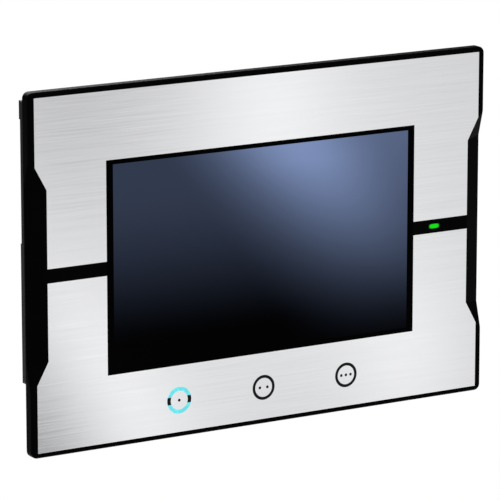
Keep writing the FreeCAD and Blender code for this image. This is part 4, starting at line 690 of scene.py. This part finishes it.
def case_details():
    """Moulded ribs, grip lines and arrows of the rear mouldings."""
    low, high = corners("rear_cover")
    back = high.y
    base, top = back - COVER_BURIED, back + COVER_PROUD
    ribs = Piece()
    for z, half in ((high.z - 5.0, 60.0), (low.z + 5.0, 24.0)):
        for i in range(3):
            level = z - 1.6 * i
            ribs.prism(rounded((-half, half), (level - 0.35, level + 0.35), 0.3, 3), "y",
                       base, back + 0.3)
    # ring round the label
    label_low, label_high = corners("rating_label")
    left, right = label_low.x - 1.8, label_high.x + 1.8
    bottom, upper = label_low.z - 1.0, label_high.z + 1.0
    line = 0.6
    for x, z in (((left, right), (upper, upper + line)), ((left, right), (bottom - line, bottom)),
                 ((left, left + line), (bottom, upper)), ((right - line, right), (bottom, upper))):
        ribs.bar(x, (base, back + 0.25), z)
    # moulding date wheel
    for radius, thick in ((4.2, 0.35), (2.6, 0.3)):
        ribs.lathe((WHEEL_X, WHEEL_Z), "y", [(base, radius), (top, radius),
                                             (top, radius - thick), (base, radius - thick)],
                   40, closed=False)
    for i in range(12):
        angle = math.tau * i / 12
        ribs.disc((WHEEL_X + 3.4 * math.cos(angle), WHEEL_Z + 3.4 * math.sin(angle)), 0.22, "y",
                  base, back + 0.15, 10)
    arrow = [(-0.4, -1.8), (0.4, -1.8), (0.4, 0.4), (1.0, 0.4), (0.0, 1.8), (-1.0, 0.4), (-0.4, 0.4)]
    ribs.prism([(WHEEL_X + x, WHEEL_Z + z) for x, z in arrow], "y", base, top)
    ribs.done("cover_moulding_marks", "housing", "cover_plastic", 0.08)
    # grips of the two small lids
    low, high = corners("battery_door")
    middle = (low.x + high.x) / 2
    grips = Piece()
    for i in range(5):
        z = low.z + 2.0 + 1.1 * i
        half = 4.6 - 0.45 * abs(i - 1.5)
        grips.prism(rounded((middle - half, middle + half), (z - 0.25, z + 0.25), 0.24, 3), "y",
                    high.y - 0.9, high.y - 0.25)
    grips.prism([(middle - 3, low.z + 13), (middle + 3, low.z + 13), (middle, low.z + 9)], "y",
                high.y - COVER_BURIED, high.y + COVER_PROUD)
    grips.done("battery_door_grip", "battery_door", "cover_plastic", 0.08)
    low, high = corners("expansion_cover")
    grips = Piece()
    middle_z = (low.z + high.z) / 2
    base, top = high.y - COVER_BURIED, high.y + COVER_PROUD
    for i in range(3):
        x = high.x - 4.6 + 1.1 * i
        grips.prism(rounded((x - 0.25, x + 0.25), (middle_z - 1.9, middle_z + 1.9), 0.24, 3), "y",
                    high.y - 0.9, high.y - 0.2)
    grips.prism([(high.x - 12, middle_z - 2), (high.x - 12, middle_z + 2), (high.x - 8.5, middle_z)],
                "y", base, top)
    for z in ((middle_z - 3.6, middle_z - 3.1), (middle_z + 3.1, middle_z + 3.6)):
        grips.prism(rounded((low.x + 3, high.x - 15), z, 0.24, 3), "y", base, top)
    grips.done("expansion_cover_grip", "expansion_cover", "cover_plastic", 0.08)


ROW_LEVEL = -62.0
EARTH_X, EARTH_Y = -80.0, 24.0


def row_details():
    """Raised lines beside the sockets in the underside, the earth symbol and the reset collar."""
    level = ROW_LEVEL
    frames = Piece()
    for node in ("power_socket", "serial_port", "usb_device_port"):
        first, last = corners(node)
        x = (first.x - 1.2, last.x + 1.2)
        for y in ((first.y - 1.0, first.y - 0.5), (last.y + 0.5, last.y + 1.0)):
            frames.bar(x, y, (level - 0.35, level + 0.2))
    # earth symbol: stem and three bars of falling length
    x, y = EARTH_X, EARTH_Y
    frames.bar((x - 0.25, x + 0.25), (y, y + 3.0), (level - 0.3, level + 0.2))
    for i, half in enumerate((2.2, 1.4, 0.6)):
        frames.bar((x - half, x + half), (y - 0.5 - 1.1 * i, y - 1.1 * i), (level - 0.3, level + 0.2))
    frames.done("socket_row_marks", "housing", "case_plastic", 0.08)
    # collar round the reset button
    first, last = corners("reset_button")
    centre = ((first.x + last.x) / 2, (first.y + last.y) / 2)
    collar = Piece()
    collar.lathe(centre, "z", [(level + 0.2, 3.2), (level - 0.6, 3.0), (level - 0.6, 2.2),
                               (level + 0.2, 2.05)], 32, closed=False)
    collar.done("reset_button_collar", "housing", "case_plastic", 0.08)


SPRING_LONG, SPRING_RADIUS, SPRING_TAPER, SPRING_TURNS = 3.1, 3.6, 0.36, 4


def battery_details():
    """Coil spring and contact plate of the battery, and the metal ends of its sleeve."""
    low, high = corners("battery")
    centre_y, centre_z = (low.y + high.y) / 2, (low.z + high.z) / 2
    contacts = Piece()
    steps, first = 20, low.x - 3.2
    path = []
    for i in range(SPRING_TURNS * steps + 1):
        radius = SPRING_RADIUS - SPRING_TAPER * i / steps
        path.append((first + SPRING_LONG * i / (SPRING_TURNS * steps),
                     centre_y + radius * math.cos(math.tau * i / steps),
                     centre_z + radius * math.sin(math.tau * i / steps)))
    contacts.wire(path, 0.25, 6)
    plate = (centre_z - 4, centre_z + 4)
    contacts.bar((high.x + 0.1, high.x + 0.5), (centre_y - 4, centre_y + 4), plate)
    contacts.bar((high.x + 0.1, high.x + 2.0), (centre_y - 4.5, centre_y - 4), plate)
    contacts.done("battery_contacts", "housing", "connector_metal", 0.1)
    bands = Piece()
    radius = (high.z - low.z) / 2
    for x in (low.x + 1.2, high.x - 4.0):
        bands.lathe((centre_y, centre_z), "x", [(x, radius - 0.1), (x + 0.1, radius + 0.08),
                                                (x + 1.1, radius + 0.08), (x + 1.2, radius - 0.1)], 40)
    bands.done("battery_sleeve_ends", "housing", "can_metal", 0)


EXPANSION_COUNT, EXPANSION_PITCH = 19, 1.27


def expansion_details():
    """Two rows of contacts in the expansion socket."""
    low, high = corners("expansion_socket")
    middle_z = (low.z + high.z) / 2
    contacts = Piece()
    for i in range(EXPANSION_COUNT):
        x = (low.x + high.x) / 2 + (i - (EXPANSION_COUNT - 1) / 2) * EXPANSION_PITCH
        for side in (-1, 1):
            z = middle_z + side * 0.8
            contacts.bar((x - 0.3, x + 0.3), (high.y - 9.0, high.y - 2.0),
                         sorted((z, z + side * 0.12)))
    contacts.done("expansion_contacts", "housing", "contact_gold", 0.03)


def card_details():
    """Finger ridges and blank sticker of the memory card."""
    low, high = corners("memory_card")
    ridges, sticker = Piece(), Piece()
    for i in range(3):
        x = high.x - 0.9 - 0.9 * i
        ridges.prism(rounded((x - 0.22, x + 0.22), (low.z + 6, high.z - 6), 0.2, 3), "y",
                     high.y - 0.05, high.y + 0.12)
    sticker.prism(rounded((low.x + 7, high.x - 4.5), (low.z + 2.5, high.z - 2.5), 1.0), "y",
                  high.y - 0.03, high.y + 0.06)
    ridges.done("memory_card_ridges", "memory_card", "card_blue", 0.04)
    sticker.done("memory_card_sticker", "memory_card", "lever_white", 0)


THREAD_RADIUS, THREAD_DEEP = 1.93, 0.42
HEAD_LONG, FOOT_END = 2.6, 3.0
HEAD_RADIUS, SOCKET_HALF = 2.98, 1.4


def clamp_details():
    """Clamp screws with a real thread, a knurled head and a hexagonal socket."""
    for number in range(1, 5):
        name = "clamp_screw_%d" % number
        low, high = corners(name)
        centre = ((low.x + high.x) / 2, (low.z + high.z) / 2)
        head = high.y - HEAD_LONG
        shaft = low.y + FOOT_END

        def thread(level):
            def radius(angle):
                phase = (level / THREAD_PITCH - angle / math.tau) % 1.0
                return THREAD_RADIUS - THREAD_DEEP * abs(2 * phase - 1)
            return radius

        profile = [(low.y, 1.2), (low.y + 0.3, 1.48), (shaft - 0.2, 1.48)]
        steps = int((head - shaft) / THREAD_PITCH * 8)
        profile += [(shaft + (head - shaft) * i / steps, thread(shaft + (head - shaft) * i / steps))
                    for i in range(steps)]

        def knurl(angle):
            return HEAD_RADIUS - 0.09 * (math.sin(angle * 18) > 0)

        def socket(angle):
            return SOCKET_HALF / math.cos((angle + math.pi / 6) % (math.pi / 3) - math.pi / 6)

        profile += [(head, 1.6), (head, 2.7), (head + 0.3, knurl), (high.y - 0.4, knurl),
                    (high.y, 2.65), (high.y, 1.75), (high.y - 0.2, socket), (high.y - 1.6, socket)]
        screw = Piece()
        screw.lathe(centre, "y", profile, 36)
        screw.done(name + "_threaded", name, "screw_steel", 0, (name,))


def vent_details():
    """Small parts on the main board, seen through the vents."""
    draw = random.Random(7)
    low, high = corners("main_board")
    taken = [corners(node) for node in ("heat_sink", "power_converter", "buzzer", "processor",
                                        "expansion_socket", "battery_holder")]
    ends, bodies = Piece(), Piece()
    for _ in range(150):
        x = draw.uniform(low.x + 4, high.x - 4)
        z = draw.uniform(low.z + 16, high.z - 4)
        along = draw.random() < 0.5
        if any(a.x - 2 < x < b.x + 2 and a.z - 2 < z < b.z + 2 for a, b in taken):
            continue
        half_long, half_wide, tall = draw.choice(((1.0, 0.6, 0.5), (1.6, 0.8, 0.6), (0.8, 0.4, 0.4)))
        for part, first, last in ((ends, -1.0, -0.6), (bodies, -0.6, 0.6), (ends, 0.6, 1.0)):
            span = (first * half_long, last * half_long)
            if along:
                part.bar((x + span[0], x + span[1]), (high.y - 0.01, high.y + tall),
                         (z - half_wide, z + half_wide))
            else:
                part.bar((x - half_wide, x + half_wide), (high.y - 0.01, high.y + tall),
                         (z + span[0], z + span[1]))
    ends.done("small_part_ends", "housing", "can_metal", 0.04)
    bodies.done("small_part_bodies", "housing", "chip_black", 0.04)


def make_details():
    """All the pieces that only the visual model has."""
    network_details()
    usb_details()
    serial_details()
    power_details()
    case_details()
    row_details()
    battery_details()
    expansion_details()
    card_details()
    clamp_details()
    vent_details()


# ---- stage -----------------------------------------------------------------------------------

FLOOR_LEVEL = -2.1


def only_camera(obj):
    """Makes an object visible in the picture only, so that it neither lights nor reflects."""
    obj.visible_diffuse = False
    obj.visible_glossy = False
    obj.visible_transmission = False
    obj.visible_shadow = False


def flat_material(name, colour, emission):
    """Plain stage material."""
    graph = Graph(name)
    mottle = graph.noise(2.0, 2.0)
    graph.shade(Base_Color=graph.scaled(colour, graph.fit(mottle, 0.3, 0.7, 0.99, 1.01)),
                Roughness=0.9, Emission_Color=(1.0, 1.0, 1.0), Emission_Strength=emission)
    return graph.material


def make_stage():
    """Pale floor far below, and a white surround that only the camera sees."""
    mesh = bpy.data.meshes.new("surround")
    shape = bmesh.new()
    bmesh.ops.create_icosphere(shape, subdivisions=4, radius=7.0)
    bmesh.ops.reverse_faces(shape, faces=shape.faces)
    shape.to_mesh(mesh)
    shape.free()
    surround = bpy.data.objects.new("surround", mesh)
    mesh.materials.append(flat_material("surround", (0.0, 0.0, 0.0), 1.0))
    bpy.context.scene.collection.objects.link(surround)
    only_camera(surround)
    mesh = bpy.data.meshes.new("floor")
    shape = bmesh.new()
    bmesh.ops.create_circle(shape, cap_ends=True, segments=96, radius=6.6)
    shape.to_mesh(mesh)
    shape.free()
    floor = bpy.data.objects.new("floor", mesh)
    floor.location = (0, 0, FLOOR_LEVEL)
    mesh.materials.append(flat_material("floor", (0.85, 0.85, 0.85), 0.7))
    bpy.context.scene.collection.objects.link(floor)


def area_light(name, azimuth, elevation, distance, wide, high, power, colour=(1.0, 1.0, 1.0)):
    """Soft box that points at the object."""
    data = bpy.data.lights.new(name, "AREA")
    data.shape = "RECTANGLE"
    data.size = wide
    data.size_y = high
    data.energy = power
    data.color = colour
    light = bpy.data.objects.new(name, data)
    bpy.context.scene.collection.objects.link(light)
    away = direction(math.radians(azimuth), math.radians(elevation))
    light.location = away * distance
    light.rotation_mode = "QUATERNION"
    light.rotation_quaternion = (-away).to_track_quat("-Z", "Y")
    light.visible_camera = False
    return light


# The soft box in front is a large white cloth whose brightness changes smoothly across it.  Each
# patch is an oval on the front face, in millimetres, that sees a brighter or darker part of it:
# its middle, its half width, its half height, its slope and what it adds.
CLOTH_DISTANCE = 1.5
CLOTH_TONE = 0.45
CLOTH_PATCHES = (
    (0, 0, 260, 220, 0.0, 0.36),
    (4, 70, 30, 50, 0.0, 0.42), (-92, 75, 45, 45, 0.0, -0.27), (95, 70, 40, 60, 0.0, -0.02),
    (-84, -46, 16, 55, 0.75, 0.86), (-122, -84, 28, 40, 0.0, -0.80), (78, -62, 26, 34, 0.0, 0.50),
    (0, -66, 40, 30, 0.0, -0.02),
)


def cloth_material():
    """Light of the cloth, laid out by the point of the front plane that mirrors it."""
    graph = Graph("cloth")
    eye = CAMERA_TARGET + direction(CAMERA_AZIMUTH, CAMERA_ELEVATION) * CAMERA_DISTANCE
    plane = -6.0 * MM
    behind = 2 * plane - eye.y
    x, y, z = graph.axes()
    share = graph.maths("DIVIDE", plane - behind, graph.maths("SUBTRACT", y, behind))
    place = []
    for value, start in ((x, eye.x), (z, eye.z)):
        step = graph.maths("MULTIPLY", graph.maths("SUBTRACT", value, start), share)
        place.append(graph.maths("DIVIDE", graph.maths("ADD", step, start), MM))
    tone = CLOTH_TONE
    for middle_x, middle_z, half_x, half_z, slope, extra in CLOTH_PATCHES:
        up = graph.maths("SUBTRACT", place[1], middle_z)
        across = graph.maths("SUBTRACT", graph.maths("SUBTRACT", place[0], middle_x),
                             graph.maths("MULTIPLY", up, -slope))
        far = graph.maths("ADD", graph.maths("POWER", graph.maths("DIVIDE", across, half_x), 2.0),
                          graph.maths("POWER", graph.maths("DIVIDE", up, half_z), 2.0))
        patch = graph.maths("MULTIPLY", graph.maths("EXPONENT", graph.maths("MULTIPLY", far, -1.0)),
                            extra)
        tone = graph.maths("ADD", tone, patch)
    graph.shade(Base_Color=(0.0, 0.0, 0.0), Roughness=1.0, Specular_IOR_Level=0.0,
                Emission_Color=(1.0, 1.0, 1.0), Emission_Strength=tone)
    return graph.material


def make_cloth():
    """White tent in front of the object, seen only in reflections."""
    shape = bmesh.new()
    rows = []
    for elevation in range(-60, 61, 10):
        rows.append([shape.verts.new(direction(math.radians(azimuth), math.radians(elevation))
                                     * CLOTH_DISTANCE) for azimuth in range(-90, 81, 10)])
    for low, high in zip(rows, rows[1:]):
        for i in range(len(low) - 1):
            shape.faces.new((low[i], low[i + 1], high[i + 1], high[i]))
    mesh = bpy.data.meshes.new("cloth")
    shape.to_mesh(mesh)
    shape.free()
    for polygon in mesh.polygons:
        polygon.use_smooth = True
    mesh.materials.append(cloth_material())
    cloth = bpy.data.objects.new("cloth", mesh)
    cloth.visible_camera = False
    cloth.visible_shadow = False
    bpy.context.scene.collection.objects.link(cloth)


def make_lights():
    """Even pale surroundings with a few large soft boxes."""
    world = bpy.data.worlds.new("world")
    bpy.context.scene.world = world
    world.use_nodes = True
    world.node_tree.nodes["Background"].inputs["Color"].default_value = (1.0, 1.0, 1.0, 1.0)
    world.node_tree.nodes["Background"].inputs["Strength"].default_value = 0.12
    make_cloth()
    area_light("top_box", -10.0, 74.0, 2.0, 1.5, 1.0, 18.0)
    area_light("left_box", -100.0, 12.0, 2.2, 0.8, 1.8, 8.0)
    area_light("back_box", 170.0, 35.0, 2.6, 1.6, 1.6, 60.0)
    area_light("low_back_box", 150.0, -35.0, 2.4, 1.4, 1.4, 30.0)


# ---- picture ---------------------------------------------------------------------------------

bpy.context.scene.view_settings.view_transform = "Standard"
finishes = make_finishes()
make_camera()
dress_nodes(finishes)
make_details()
make_stage()
make_lights()
